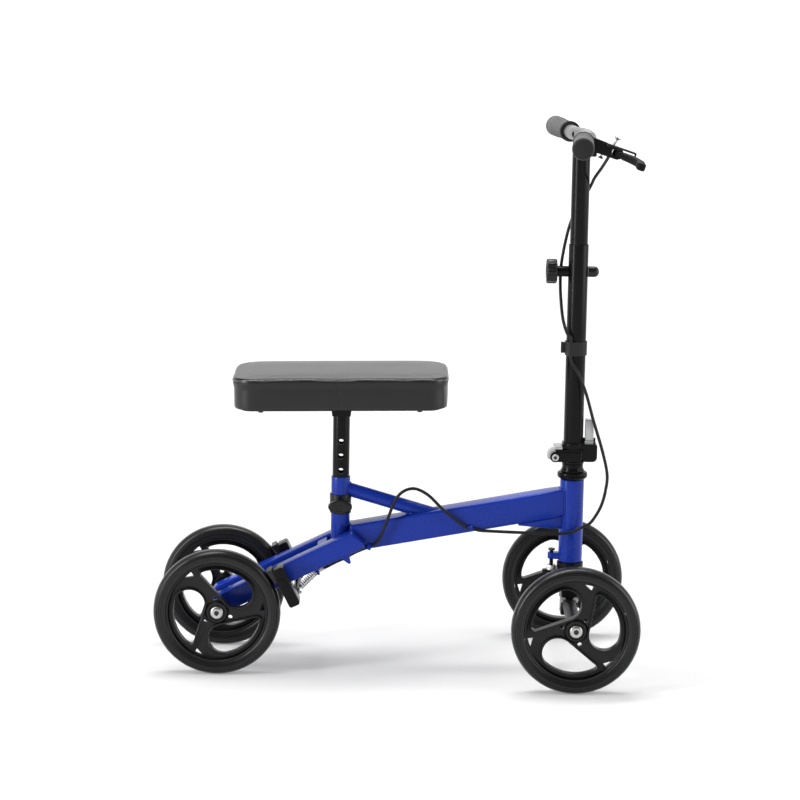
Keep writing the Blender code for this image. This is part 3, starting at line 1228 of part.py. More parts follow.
# The pad's face follows the tyre at the brake's running gap
def brake_pad(name, side):
    reach = WHEEL_RADIUS + BRAKE_PAD_GAP
    start = math.asin(BRAKE_PAD_START / reach) + RAIL_SLOPE
    end = math.asin(BRAKE_PAD_END / reach) + RAIL_SLOPE
    face = arc((REAR_X, WHEEL_RADIUS), reach, start, end, 4)
    seat = BRAKE_ARM_BACK - GAP
    outline = face + [rail_point(seat, BRAKE_PAD_END), rail_point(seat, BRAKE_PAD_START)]
    y = BRAKE_ARM_INNER + BRAKE_ARM_WIDTH / 2
    plate(name, [outline], BRAKE_PAD_WIDTH, (0, side * y, 0), finish=BLACK_RUBBER)


def brake_spring():
    half = STOP_PLATE_THICKNESS / 2 + SPRING_WIRE_RADIUS + GAP
    x, z = rail_point(STOP_PLATE_ALONG - half, -STOP_BORE_DROP)
    top = Vector((x, CABLE_END_Y, z))
    ahead = BRAKE_BAR_AHEAD + BRAKE_BAR_RADIUS + SPRING_WIRE_RADIUS + GAP
    x, z = rail_point(BRAKE_ARM_BACK + ahead + 0.001, -BRAKE_BAR_DROP + 0.002)
    bottom = Vector((x, CABLE_END_Y, z))
    along = (bottom - top).normalized()
    side = Vector((0, 1, 0))
    up = along.cross(side)
    points = []
    count = SPRING_TURNS * SPRING_POINTS_PER_TURN
    for i in range(count + 1):
        angle = 2 * math.pi * i / SPRING_POINTS_PER_TURN
        share = 0.012 + 0.976 * i / count
        points.append(top.lerp(bottom, share) + SPRING_RADIUS * (side * math.cos(angle) + up * math.sin(angle)))
    wire("brake_spring", points, SPRING_WIRE_RADIUS, BRIGHT_STEEL, 1)


# Brake cable, held by the lever, the strap, two clips and the stop
def brake_cable():
    free = COLUMN_TOP + CABLE_STEP
    stretch = (BAR_Z - CABLE_DROP - free) / (UPPER_END - free)
    upper = [(x, y, free + (z - free) * stretch if z > free else z) for x, y, z in UPPER_ROUTE]
    wire("brake_cable_upper", smooth_route(upper, CABLE_STEP), CABLE_RADIUS, BLACK_PLASTIC)
    x, z = rail_point(STOP_PLATE_ALONG + STOP_PLATE_THICKNESS / 2 + GAP, -STOP_BORE_DROP)
    ahead_x, ahead_z = rail_point(STOP_PLATE_ALONG + STOP_PLATE_THICKNESS / 2 + CABLE_STEP, -STOP_BORE_DROP)
    under = []
    for ahead, across, up in STOP_ROUTE:
        rail_x, rail_z = rail_point(STOP_PLATE_ALONG + ahead, up)
        under.append((rail_x, across, rail_z))
    route = LOWER_ROUTE + under + [(ahead_x, CABLE_END_Y, ahead_z), (x, CABLE_END_Y, z)]
    wire("brake_cable_lower", smooth_route(route, CABLE_STEP), CABLE_RADIUS, BLACK_PLASTIC)


def wheels():
    for side, hand in ((-1, "right"), (1, "left")):
        wheel(f"front_{hand}", FRONT_X, side * FRONT_TRACK / 2, FRONT_WHEEL_TURN)
        wheel(f"rear_{hand}", REAR_X, side * REAR_TRACK / 2, REAR_WHEEL_TURN)
        wheel_bolt(f"front_bolt_{hand}", FRONT_X, side * FRONT_TRACK / 2)
        wheel_bolt(f"rear_bolt_{hand}", REAR_X, side * REAR_TRACK / 2)
    axle("front_axle", FRONT_X, FRONT_TRACK, FRONT_AXLE_TUBE_RADIUS)
    axle("rear_axle", REAR_X, REAR_TRACK, REAR_SHOULDER_RADIUS)


def frame():
    main_tube()
    rear_rail("rear_rail_right", -1)
    rear_rail("rear_rail_left", 1)
    rail_bridge()
    head_tube()
    head_gusset()
    steering_stop_bolt()
    seat_sleeve()
    seat_brace()
    headset()


def column():
    hinge_knuckle()
    hinge_head()
    latch_lever()
    column_tube()
    height_nut()
    height_knob()
    cable_strap()
    handlebar_post()


def bar_and_lever():
    bar_frame = bpy.data.objects.new("bar frame", None)
    bar_frame.location = (FRONT_X, 0, BAR_Z)
    bar_frame.rotation_euler = (0, 0, BAR_YAW)
    walker.objects.link(bar_frame)
    handlebar(bar_frame)
    grip("grip_right", -1, bar_frame)
    grip("grip_left", 1, bar_frame)
    lever_frame = bpy.data.objects.new("lever frame", None)
    lever_frame.location = (bar_x(LEVER_Y), LEVER_Y, 0)
    lever_frame.rotation_euler = (0, LEVER_SLOPE, -BAR_SWEEP)
    lever_frame.parent = bar_frame
    walker.objects.link(lever_frame)
    lever_bracket(lever_frame)
    brake_lever(lever_frame)
    parking_tab(lever_frame)


def rear_brake():
    brake_shaft()
    cable_stop()
    brake_yoke()
    brake_pad("brake_pad_right", -1)
    brake_pad("brake_pad_left", 1)
    brake_spring()
    brake_cable()


clear_scene()
walker = new_collection("folding knee walker")
tools = new_collection("cutters and joined shapes")
wheels()
frame()
fork()
hinge_base()
hinge_pin()
column()
bar_and_lever()
knee_rest()
seat_bracket()
seat_post()
seat_clamp()
rear_brake()
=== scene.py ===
# Folding knee walker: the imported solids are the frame, and this script gives them their looks.
# Metres: +X forwards, +Y to the rider's left, +Z up.
import math

import bmesh
import bpy
from mathutils import Matrix, Vector
from mathutils.bvhtree import BVHTree


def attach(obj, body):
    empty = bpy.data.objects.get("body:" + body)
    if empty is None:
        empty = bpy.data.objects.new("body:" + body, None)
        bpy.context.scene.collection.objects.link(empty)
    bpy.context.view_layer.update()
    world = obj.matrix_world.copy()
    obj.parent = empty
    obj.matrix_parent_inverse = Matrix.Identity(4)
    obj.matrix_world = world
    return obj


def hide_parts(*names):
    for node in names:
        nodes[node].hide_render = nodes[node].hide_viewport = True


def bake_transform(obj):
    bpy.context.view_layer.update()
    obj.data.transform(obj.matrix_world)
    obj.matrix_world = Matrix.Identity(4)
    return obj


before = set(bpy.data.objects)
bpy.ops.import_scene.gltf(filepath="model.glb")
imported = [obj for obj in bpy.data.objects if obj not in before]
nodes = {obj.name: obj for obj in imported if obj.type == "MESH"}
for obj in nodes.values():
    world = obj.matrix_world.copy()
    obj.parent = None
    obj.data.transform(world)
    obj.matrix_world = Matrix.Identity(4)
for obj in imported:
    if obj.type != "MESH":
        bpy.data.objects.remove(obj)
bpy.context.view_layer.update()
print("frame loaded,", len(nodes), "nodes")


# Shader maths: a socket that can be added, taken from a number, multiplied and divided
class Wire:
    def __init__(self, pattern, socket):
        self.pattern = pattern
        self.socket = socket

    def maths(self, operation, *values):
        return self.pattern.node("ShaderNodeMath", {"operation": operation}, dict(enumerate(values)))

    def __add__(self, other):
        return self.maths("ADD", self, other)

    def __rsub__(self, other):
        return self.maths("SUBTRACT", other, self)

    def __mul__(self, other):
        return self.maths("MULTIPLY", self, other)

    def __truediv__(self, other):
        return self.maths("DIVIDE", self, other)

    __radd__ = __add__
    __rmul__ = __mul__


# Patterns in a node tree, over one kind of texture coordinates
class Pattern:
    def __init__(self, tree, coordinates):
        self.tree = tree
        self.place = self.node("ShaderNodeTexCoord", {}, {}, coordinates)

    def node(self, kind, settings=None, sockets=None, output=0):
        new = self.tree.nodes.new(kind)
        for setting, value in (settings or {}).items():
            if setting == "stops":
                for stop, (position, shade) in zip(new.color_ramp.elements, value):
                    stop.position = position
                    stop.color = (shade, shade, shade, 1.0)
            else:
                setattr(new, setting, value)
        for socket, value in (sockets or {}).items():
            self.plug(new.inputs[socket], value)
        return Wire(self, new.outputs[output])

    def plug(self, socket, value):
        if isinstance(value, Wire):
            self.tree.links.new(value.socket, socket)
        elif hasattr(value, "__len__") and len(value) == 3 and socket.type == "RGBA":
            socket.default_value = (*value, 1.0)
        else:
            socket.default_value = value

    def noise(self, scale, detail, roughness=0.5, stretch=(1, 1, 1)):
        place = self.place
        if stretch != (1, 1, 1):
            place = self.node("ShaderNodeMapping", {}, {"Vector": place, "Scale": stretch})
        return self.node("ShaderNodeTexNoise", {}, {"Vector": place, "Scale": scale, "Detail": detail,
                                                    "Roughness": roughness}, "Fac")

    def cells(self, scale, feature="F1"):
        return self.node("ShaderNodeTexVoronoi", {"feature": feature}, {"Vector": self.place, "Scale": scale},
                         "Distance")

    def ramp(self, value, low, high):
        return self.node("ShaderNodeValToRGB", {"stops": ((low, 0.0), (high, 1.0))}, {"Fac": value})

    def axis(self, name):
        return self.node("ShaderNodeSeparateXYZ", {}, {"Vector": self.place}, name)

    def mix(self, share, first, second):
        return self.node("ShaderNodeMix", {"data_type": "RGBA"}, {0: share, 6: first, 7: second}, 2)

    def bump(self, height, distance, strength, under=None):
        sockets = {"Height": height, "Distance": distance, "Strength": strength}
        if under is not None:
            sockets["Normal"] = under
        return self.node("ShaderNodeBump", {}, sockets)


# A material on Object coordinates, with its Principled shader
class Finish(Pattern):
    def __init__(self, name, **fixed):
        self.material = bpy.data.materials.new(name)
        self.material.use_nodes = True
        super().__init__(self.material.node_tree, "Object")
        self.shader = self.tree.nodes["Principled BSDF"]
        for socket, value in fixed.items():
            self.shader.inputs[socket.replace("_", " ")].default_value = value

    def set(self, socket, value):
        self.plug(self.shader.inputs[socket], value)
        return self


def enamel(name, colour, deep, roughness, coat):
    paint = Finish(name, Coat_Weight=coat, Coat_Roughness=0.05, Specular_IOR_Level=0.12)
    cloud = paint.noise(9, 3)
    dust = paint.noise(240, 4, 0.6)
    paint.set("Base Color", paint.mix(cloud * 0.6, colour, deep))
    paint.set("Roughness", roughness + dust * 0.08 + cloud * 0.04)
    peel = paint.noise(520, 1)
    return paint.set("Normal", paint.bump(peel, 0.00006, 0.5)).material


def powderCoat(name, colour, worn, roughness, gloss=0.11):
    coat = Finish(name, Specular_IOR_Level=gloss)
    cloud = coat.noise(14, 3)
    grain = coat.cells(1100)
    coat.set("Base Color", coat.mix(cloud * 0.7, colour, worn))
    coat.set("Roughness", roughness + cloud * 0.1 + grain * 0.05)
    return coat.set("Normal", coat.bump(grain, 0.00008, 0.35)).material


def mouldedPlastic(name, colour, scuffed, roughness):
    plastic = Finish(name, Specular_IOR_Level=0.26)
    cloud = plastic.noise(20, 4)
    spark = plastic.cells(1500)
    scuff = plastic.ramp(plastic.noise(160, 6, 0.7, (1, 1, 0.2)), 0.60, 0.72)
    plastic.set("Base Color", plastic.mix(scuff * 0.25 + cloud * 0.3, colour, scuffed))
    plastic.set("Roughness", roughness + cloud * 0.08 + scuff * 0.1)
    return plastic.set("Normal", plastic.bump(spark, 0.00006, 0.4)).material


def tyreRubber(name, colour, dusty, roughness):
    rubber = Finish(name, Specular_IOR_Level=0.30)
    cloud = rubber.noise(35, 4)
    dust = rubber.ramp(rubber.noise(420, 5, 0.7), 0.52, 0.78)
    rubber.set("Base Color", rubber.mix(dust * 0.5 + cloud * 0.2, colour, dusty))
    rubber.set("Roughness", roughness + dust * 0.14 + cloud * 0.06)
    return rubber.set("Normal", rubber.bump(rubber.noise(900, 3), 0.00010, 0.5)).material


def gripFoam(name, colour, pore, roughness):
    foam = Finish(name, Specular_IOR_Level=0.35)
    pores = foam.cells(1300)
    cloud = foam.noise(60, 4)
    foam.set("Base Color", foam.mix(pores * 0.9 + cloud * 0.3, colour, pore))
    foam.set("Roughness", roughness + cloud * 0.15)
    return foam.set("Normal", foam.bump(pores, 0.00035, 0.7)).material


def plated(name, colour, tarnish, roughness):
    metal = Finish(name, Metallic=1.0)
    cloud = metal.noise(90, 4)
    scratch = metal.noise(500, 3, 0.6, (1, 1, 0.12))
    metal.set("Base Color", metal.mix(cloud * 0.6, colour, tarnish))
    metal.set("Roughness", roughness + scratch * 0.12)
    return metal.set("Normal", metal.bump(scratch, 0.00003, 0.4)).material


def brushed(name, colour, dull, roughness, stretch):
    metal = Finish(name, Metallic=1.0)
    lines = metal.noise(900, 4, 0.7, stretch)
    cloud = metal.noise(25, 3)
    metal.set("Base Color", metal.mix(lines * 0.5 + cloud * 0.3, colour, dull))
    metal.set("Roughness", roughness + lines * 0.18)
    return metal.set("Normal", metal.bump(lines, 0.00003, 0.5)).material


def leatherette(name, colour, worn, roughness):
    skin = Finish(name, Specular_IOR_Level=0.36)
    grain = skin.cells(620, "SMOOTH_F1")
    fine = skin.noise(1700, 3)
    folds = skin.noise(26, 3, 0.5, (1, 1, 0.35))
    cloud = skin.noise(12, 2)
    skin.set("Base Color", skin.mix(cloud * 0.7, colour, worn))
    skin.set("Roughness", roughness + cloud * 0.05 + grain * 0.07)
    pebble = skin.bump(grain * 0.8 + fine * 0.2, 0.00022, 0.45)
    return skin.set("Normal", skin.bump(folds, 0.0016, 0.25, pebble)).material


# For each finish its two colours, its roughness, and what else its maker takes
finishes = {
    "blue": enamel("blueEnamel", (0.0072, 0.031, 0.305), (0.0053, 0.0235, 0.235), 0.22, 0.14),
    "black": powderCoat("blackPowderCoat", (0.0035, 0.0035, 0.0037), (0.0065, 0.0065, 0.0068), 0.17),
    "lever": powderCoat("leverPaint", (0.005, 0.005, 0.0053), (0.009, 0.009, 0.0093), 0.50),
    "plastic": mouldedPlastic("mouldedBlack", (0.0055, 0.0055, 0.0058), (0.014, 0.014, 0.0143), 0.26),
    "tyre": tyreRubber("tyreRubber", (0.0085, 0.0085, 0.009), (0.019, 0.0187, 0.0183), 0.26),
    "strap": mouldedPlastic("strapRubber", (0.010, 0.010, 0.010), (0.022, 0.022, 0.022), 0.6),
    "foam": gripFoam("gripFoam", (0.175, 0.173, 0.177), (0.050, 0.050, 0.052), 0.72),
    "zinc": plated("brightZinc", (0.56, 0.56, 0.55), (0.36, 0.36, 0.355), 0.24),
    "oxide": plated("blackOxide", (0.060, 0.060, 0.062), (0.035, 0.035, 0.036), 0.34),
    "bar": brushed("satinBar", (0.34, 0.34, 0.345), (0.24, 0.24, 0.245), 0.40, (1, 0.04, 1)),
    "latch": brushed("brushedLatch", (0.52, 0.52, 0.53), (0.36, 0.36, 0.37), 0.30, (1, 1, 0.05)),
    "leather": leatherette("blackLeatherette", (0.0044, 0.0044, 0.0047), (0.0074, 0.0074, 0.0078), 0.27),
    "piping": powderCoat("glossyPiping", (0.006, 0.006, 0.0063), (0.010, 0.010, 0.0104), 0.12, 1.0),
    "thread": mouldedPlastic("blackThread", (0.012, 0.012, 0.012), (0.03, 0.03, 0.03), 0.7),
    "housing": mouldedPlastic("cableHousing", (0.006, 0.006, 0.006), (0.012, 0.012, 0.012), 0.45),
}

# Each wheel's centre, ahead and across, and the height of them all
wheelPlaces = {"front_right": (0.279, -0.1675), "front_left": (0.279, 0.1675),
               "rear_right": (-0.279, -0.0865), "rear_left": (-0.279, 0.0865)}
axleZ = 0.100

nodeFinishes = {
    "blue": ["main_tube", "rear_rail_right", "rear_rail_left", "rail_bridge", "head_tube", "head_gusset",
             "seat_sleeve", "seat_brace", "cable_stop"],
    "black": ["fork_post", "hinge_base", "brake_pivot_shaft", "hinge_head", "column_tube", "handlebar_post",
              "lever_bracket", "brake_lever", "seat_post", "seat_bracket", "seat_board", "brake_yoke",
              "headset_cup_upper", "headset_cup_lower", "headset_sleeve"],
    "plastic": ["height_knob", "height_nut", "seat_knob", "seat_clamp_collar", *(f"rim_{p}" for p in wheelPlaces)],
    "tyre": ["brake_pad_right", "brake_pad_left", *(f"tyre_{p}" for p in wheelPlaces)],
    "strap": ["cable_strap"],
    "zinc": ["front_bolt_right", "front_bolt_left", "rear_bolt_right", "rear_bolt_left", "hinge_pin",
             "brake_spring"],
    "oxide": ["steering_stop_bolt", "front_axle", "rear_axle", "steerer_tube", "parking_tab"],
    "bar": ["handlebar"],
    "latch": ["latch_lever", "hinge_knuckle"],
    "foam": ["grip_right", "grip_left"],
    "leather": ["seat_pad"],
    "housing": ["brake_cable_upper", "brake_cable_lower"],
}
for finish, names in nodeFinishes.items():
    for name in names:
        for materialSlot in nodes[name].material_slots:
            materialSlot.material = finishes[finish]
print("solids finished")


# Modelling helpers
def deselectAll():
    if bpy.context.object and bpy.context.object.mode != "OBJECT":
        bpy.ops.object.mode_set(mode="OBJECT")
    bpy.ops.object.select_all(action="DESELECT")


def pick(obj):
    deselectAll()
    obj.select_set(True)
    bpy.context.view_layer.objects.active = obj


def settle(obj):
    pick(obj)
    bpy.ops.object.transform_apply(location=True, rotation=True, scale=True)


def applyAll(obj):
    pick(obj)
    for modifier in list(obj.modifiers):
        bpy.ops.object.modifier_apply(modifier=modifier.name)


# Edges sharper than these angles are rounded off, or stay sharp in the shading
bevelAngle, smoothAngle = 35, 40


def roundOff(obj, width, segments):
    bevel = obj.modifiers.new("edges", "BEVEL")
    bevel.width = width
    bevel.segments = segments
    bevel.angle_limit = math.radians(bevelAngle)
    applyAll(obj)


def shadeSmooth(obj, angle=smoothAngle):
    pick(obj)
    bpy.ops.object.shade_smooth_by_angle(angle=math.radians(angle))


def giveFinish(obj, finish):
    obj.data.materials.clear()
    obj.data.materials.append(finishes[finish])


# A finished piece: its place goes into its mesh, it gets its finish and its body, and the solids it replaces are hidden
def mount(obj, body, finish, replaced=()):
    settle(obj)
    giveFinish(obj, finish)
    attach(obj, body)
    if replaced:
        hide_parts(*replaced)
    return obj


def named(name):
    obj = bpy.context.object
    obj.name = obj.data.name = name
    return obj


def editAll():
    bpy.ops.object.mode_set(mode="EDIT")
    bpy.ops.mesh.select_all(action="SELECT")


def faceOutwards():
    bpy.ops.mesh.normals_make_consistent(inside=False)
    bpy.ops.object.mode_set(mode="OBJECT")


# A circle's points are moved on to a closed profile of (radius, height), which is then spun about Z
def spinProfile(name, profile, steps):
    deselectAll()
    bpy.ops.mesh.primitive_circle_add(vertices=len(profile), radius=1)
    obj = named(name)
    for vertex, (radius, height) in zip(obj.data.vertices, profile):
        vertex.co = (radius, 0, height)
    editAll()
    bpy.ops.mesh.spin(steps=steps, angle=2 * math.pi, center=(0, 0, 0), axis=(0, 0, 1))
    bpy.ops.mesh.select_all(action="SELECT")
    bpy.ops.mesh.remove_doubles(threshold=0.000005)
    bpy.ops.mesh.dissolve_degenerate(threshold=0.000002)
    faceOutwards()
    return obj


def turn(obj, matrix):
    obj.data.transform(matrix)
    return obj


def copyMesh(obj, name):
    pick(obj)
    bpy.ops.object.duplicate(linked=False)
    return named(name)


# A filled circle whose points are moved on to an outline in X and Y, then extruded up from low to high
def extrudeOutline(name, outline, low, high):
    deselectAll()
    bpy.ops.mesh.primitive_circle_add(vertices=len(outline), radius=1, fill_type="NGON")
    obj = named(name)
    for vertex, (x, y) in zip(obj.data.vertices, outline):
        vertex.co = (x, y, low)
    editAll()
    bpy.ops.mesh.extrude_region_move(TRANSFORM_OT_translate={"value": (0, 0, high - low)})
    bpy.ops.mesh.select_all(action="SELECT")
    faceOutwards()
    return obj


# A ring whose section follows a closed path: rows is one list of points for each place on the path
def sweepRing(name, rows):
    deselectAll()
    bpy.ops.mesh.primitive_torus_add(major_segments=len(rows), minor_segments=len(rows[0]))
    obj = named(name)
    for vertex, point in zip(obj.data.vertices, [point for row in rows for point in row]):
        vertex.co = point
    editAll()
    faceOutwards()
    return obj


# The other object is united with this one, or cut out of it, and is gone afterwards
def combine(obj, other, operation):
    boolean = obj.modifiers.new(operation.lower(), "BOOLEAN")
    boolean.operation = operation
    boolean.solver = "EXACT"
    boolean.object = other
    applyAll(obj)
    bpy.data.objects.remove(other, do_unlink=True)
    return obj


# A smooth curve through all points of a route
def smoothRoute(route, perSpan):
    points = [Vector(p) for p in route]
    points = [2 * points[0] - points[1]] + points + [2 * points[-1] - points[-2]]
    fine = []
    for a, b, c, d in zip(points, points[1:], points[2:], points[3:]):
        for i in range(perSpan):
            t = i / perSpan
            fine.append(0.5 * (2 * b + (c - a) * t + (2 * a - 5 * b + 4 * c - d) * t * t
                               + (3 * b - a - 3 * c + d) * t ** 3))
    fine.append(points[-2])
    return fine


# A round tube along points, with its own thickness at each of them where radii are given
def tubeAlong(name, points, radius, sides, closed=False, radii=None):
    curve = bpy.data.curves.new(name, "CURVE")
    curve.dimensions = "3D"
    curve.bevel_depth = radius
    curve.bevel_resolution = max(1, sides // 2 - 2)
    curve.use_fill_caps = not closed
    spline = curve.splines.new("POLY")
    spline.points.add(len(points) - 1)
    for i, (point, place) in enumerate(zip(spline.points, points)):
        point.co = (*place, 1)
        point.radius = radii[i] if radii else 1.0
    spline.use_cyclic_u = closed
    obj = bpy.data.objects.new(name, curve)
    bpy.context.scene.collection.objects.link(obj)
    pick(obj)
    bpy.ops.object.convert(target="MESH")
    obj = named(name)
    editAll()
    bpy.ops.mesh.remove_doubles(threshold=0.000005)
    faceOutwards()
    shadeSmooth(obj, 60)
    return obj


# Tyres: a round crown, with fine rings moulded in both side walls
tyre = {
    "radius": 0.0999, "inner": 0.0803, "halfWidth": 0.0150, "seatHalf": 0.0120, "steps": 128,
    "rings": (0.0870, 0.0905, 0.0940), "ringWidth": 0.0007, "ringDepth": 0.0005,
    "bulge": 0.42, "roundness": 0.8, "wallSteps": 22, "seatLip": (0.0012, 0.0011),
}


def tyreHalfProfile(settings):
    # from the seat up the side wall to the middle of the tread
    low, seat, bulge, steps = settings["inner"], settings["seatHalf"], settings["bulge"], settings["wallSteps"]
    depth = settings["radius"] - low
    lipUp, lipOut = settings["seatLip"]
    wall = [(low, seat), (low + lipUp, seat + lipOut)]
    for i in range(steps + 1):
        a = math.pi / 2 * i / steps
        wall.append((low + depth * bulge + depth * (1 - bulge) * math.sin(a),
                     settings["halfWidth"] * math.cos(a) ** settings["roundness"]))
    side = []
    for (r0, h0), (r1, h1) in zip(wall, wall[1:]):
        side.append((r0, h0))
        for ring in settings["rings"]:
            for offset, drop in ((-1, 0.0), (-0.4, 1.0), (0.4, 1.0), (1, 0.0)):
                r = ring + offset * settings["ringWidth"] / 2
                if r0 < r <= r1:
                    t = (r - r0) / (r1 - r0)
                    side.append((r, h0 + (h1 - h0) * t - drop * settings["ringDepth"]))
    side.append(wall[-1])
    return side


def makeTyre(settings):
    half = tyreHalfProfile(settings)
    profile = half + [(r, -h) for r, h in reversed(half[:-1])]
    obj = spinProfile("tyre", profile, settings["steps"])
    shadeSmooth(obj)
    return turn(obj, Matrix.Rotation(math.pi / 2, 4, "X"))


# Rims: a spun disc with swirl windows, each with a rounded lip; a "triangle" is two radii and two angles in degrees,
# and a "hole" its radius, its distance from the middle and its angle
rim = {
    "radius": 0.080, "bandHalf": 0.0120, "bandDepth": 0.0035, "webHalf": 0.0040, "hubRadius": 0.0165,
    "hubHalf": 0.0090, "bore": 0.0065, "recessRadius": 0.0125, "recessDepth": 0.0012,
    "windows": 3, "roundRadius": 0.024, "windowRadius": 0.0685, "tipRadius": 0.004, "edgeAngle": 88.0,
    "lipWidth": 0.0028, "lipHalf": 0.0090, "lipRounding": 0.0010, "lipSteps": 90,
    "triangle": (0.067, 0.0755, 77.9, 89.4), "hole": (0.0035, 0.0225, 54.4),
    "turns": {"front": -8.0, "rear": -75.5}, "steps": 96,
}


def polar(radius, angle):
    return Vector((radius * math.cos(angle), radius * math.sin(angle)))


def arcPoints(centre, radius, start, end, steps):
    return [Vector(centre) + polar(radius, start + (end - start) * i / steps) for i in range(steps + 1)]


# The arc that rounds off a corner between its two neighbours
def filletPoints(before, corner, after, radius, steps):
    corner = Vector(corner)
    back = (Vector(before) - corner).normalized()
    ahead = (Vector(after) - corner).normalized()
    half = back.angle(ahead) / 2
    centre = corner + (back + ahead).normalized() * radius / math.sin(half)
    start = corner + back * radius / math.tan(half) - centre
    end = corner + ahead * radius / math.tan(half) - centre
    first = math.atan2(start.y, start.x)
    sweep = math.atan2(start.cross(end), start.dot(end))
    return arcPoints(centre, radius, first, first + sweep, steps)


# A window: a round end near the hub's spoke, a straight edge, a small tip and an arc along the rim
def windowOutline(settings, grow=0.0):
    roundRadius = settings["roundRadius"] + grow
    rimRadius = settings["windowRadius"] + grow
    edgeAngle = math.radians(settings["edgeAngle"])
    centre = polar(settings["windowRadius"] - settings["roundRadius"], 0)
    edge = polar(1.0, edgeAngle)
    touch = edgeAngle + math.pi / 2
    foot = centre + polar(roundRadius, touch)
    reach = -foot.dot(edge) + math.sqrt(foot.dot(edge) ** 2 + rimRadius ** 2 - foot.length_squared)
    tip = foot + edge * reach
    sweep = math.atan2(tip.y, tip.x) % (2 * math.pi)
    outer = arcPoints((0, 0), rimRadius, 0, sweep * 0.85, 22)
    corner = filletPoints(outer[-1], tip, foot, settings["tipRadius"] + grow, 8)
    straight = [corner[-1].lerp(foot, i / 8) for i in range(1, 8)]
    return outer + corner + straight + arcPoints(centre, roundRadius, touch, 1.97 * math.pi, 26)


# Points at even distances along a path: a set number of them, or as many as the pitch asks for
def evenly(points, pitch=None, closed=False, count=None):
    points = [Vector(p) for p in points]
    if closed:
        points.append(points[0].copy())
    lengths = [0.0]
    for a, b in zip(points, points[1:]):
        lengths.append(lengths[-1] + (b - a).length)
    count = count or max(3, round(lengths[-1] / pitch))
    even = []
    index = 0
    for i in range(count if closed else count + 1):
        target = lengths[-1] * i / count
        while index < len(points) - 2 and lengths[index + 1] < target:
            index += 1
        share = (target - lengths[index]) / max(lengths[index + 1] - lengths[index], 1e-9)
        even.append(points[index].lerp(points[index + 1], share))
    return even


def lipRing(settings, outline):
    count = settings["lipSteps"]
    inner = evenly(outline, closed=True, count=count)
    half = settings["lipHalf"]
    r = settings["lipRounding"]
    width = settings["lipWidth"]
    section = []
    for cx, cz, first in ((width - r, half - r, 0), (r, half - r, 90), (r, r - half, 180), (width - r, r - half, 270)):
        section += [(cx + r * math.cos(math.radians(first + a)), cz + r * math.sin(math.radians(first + a)))
                    for a in (0, 30, 60, 90)]
    rows = []
    for i, point in enumerate(inner):
        along = (inner[(i + 1) % count] - inner[i - 1]).normalized()
        out = Vector((along.y, -along.x))
        rows.append([(*(point + out * x), z) for x, z in section])
    return sweepRing("lip", rows)


def makeRim(settings):
    radius, half, web = settings["radius"], settings["bandHalf"], settings["webHalf"]
    band = radius - settings["bandDepth"]
    hub, face, recess = settings["hubRadius"], settings["hubHalf"], settings["recessRadius"]
    sunk = face - settings["recessDepth"]
    top = [(settings["bore"], sunk), (recess - 0.0004, sunk), (recess, sunk + 0.0004), (recess + 0.0004, face),
           (hub - 0.0008, face), (hub, face - 0.0008), (hub + 0.0010, web + 0.0014), (hub + 0.0024, web),
           (band - 0.0022, web), (band - 0.0008, web + 0.0008), (band, web + 0.0024), (band, half - 0.0006),
           (band + 0.0006, half), (radius - 0.0006, half), (radius, half - 0.0006)]
    profile = top + [(r, -h) for r, h in reversed(top)]
    obj = spinProfile("rim", profile, settings["steps"])
    inner, outer, start, end = settings["triangle"]
    holeRadius, holeDistance, holeAngle = settings["hole"]
    openings = {
        "window": windowOutline(settings, settings["lipWidth"] / 2),
        "triangle": [polar(inner, math.radians(start)), polar(outer, math.radians(start)),
                     polar(outer - 0.001, math.radians(end))],
        "hole": arcPoints(polar(holeDistance, math.radians(holeAngle)), holeRadius, 0, 2 * math.pi * 23 / 24, 23),
    }
    spins = [Matrix.Rotation(2 * math.pi * i / settings["windows"], 4, "Z") for i in range(settings["windows"])]
    for spin in spins:
        for name, outline in openings.items():
            combine(obj, turn(extrudeOutline(name, outline, -0.02, 0.02), spin), "DIFFERENCE")
    for spin in spins:
        combine(obj, turn(lipRing(settings, windowOutline(settings)), spin), "UNION")
    shadeSmooth(obj, 38)
    return turn(obj, Matrix.Rotation(math.pi / 2, 4, "X"))


tyreMesh = makeTyre(tyre)
rimMesh = makeRim(rim)
for place, (x, y) in wheelPlaces.items():
    spot = Matrix.Translation((x, y, axleZ))
    spin = Matrix.Rotation(-math.radians(rim["turns"][place.split("_")[0]]), 4, "Y")
    newTyre = turn(copyMesh(tyreMesh, f"tyre_{place}_moulded"), spot)
    mount(newTyre, f"wheel_{place}", "tyre", [f"tyre_{place}"])
    newRim = turn(copyMesh(rimMesh, f"rim_{place}_moulded"), spot @ spin)
    mount(newRim, f"wheel_{place}", "plastic", [f"rim_{place}"])
for obj in (tyreMesh, rimMesh):
    bpy.data.objects.remove(obj, do_unlink=True)
print("wheels done")


# More helpers: plates, turned parts, rods and joints between them
# An outline through corners of (x, y, radius)
def softOutline(corners, steps):
    outline = []
    for i, (x, y, radius) in enumerate(corners):
        before = corners[i - 1][:2]
        after = corners[(i + 1) % len(corners)][:2]
        outline += filletPoints(before, (x, y), after, radius, steps) if radius else [Vector((x, y))]
    return outline


def softBox(x0, y0, x1, y1, radius, steps):
    return softOutline([(x0, y0, radius), (x1, y0, radius), (x1, y1, radius), (x0, y1, radius)], steps)


# The outline of a belt round two circles
def belt(first, firstRadius, second, secondRadius, steps=18):
    first, second = Vector(first), Vector(second)
    along = math.atan2((second - first).y, (second - first).x)
    lean = math.acos((firstRadius - secondRadius) / (second - first).length)
    far = arcPoints(first, firstRadius, along + lean, along - lean + 2 * math.pi, steps)
    return far + arcPoints(second, secondRadius, along - lean, along + lean, steps)


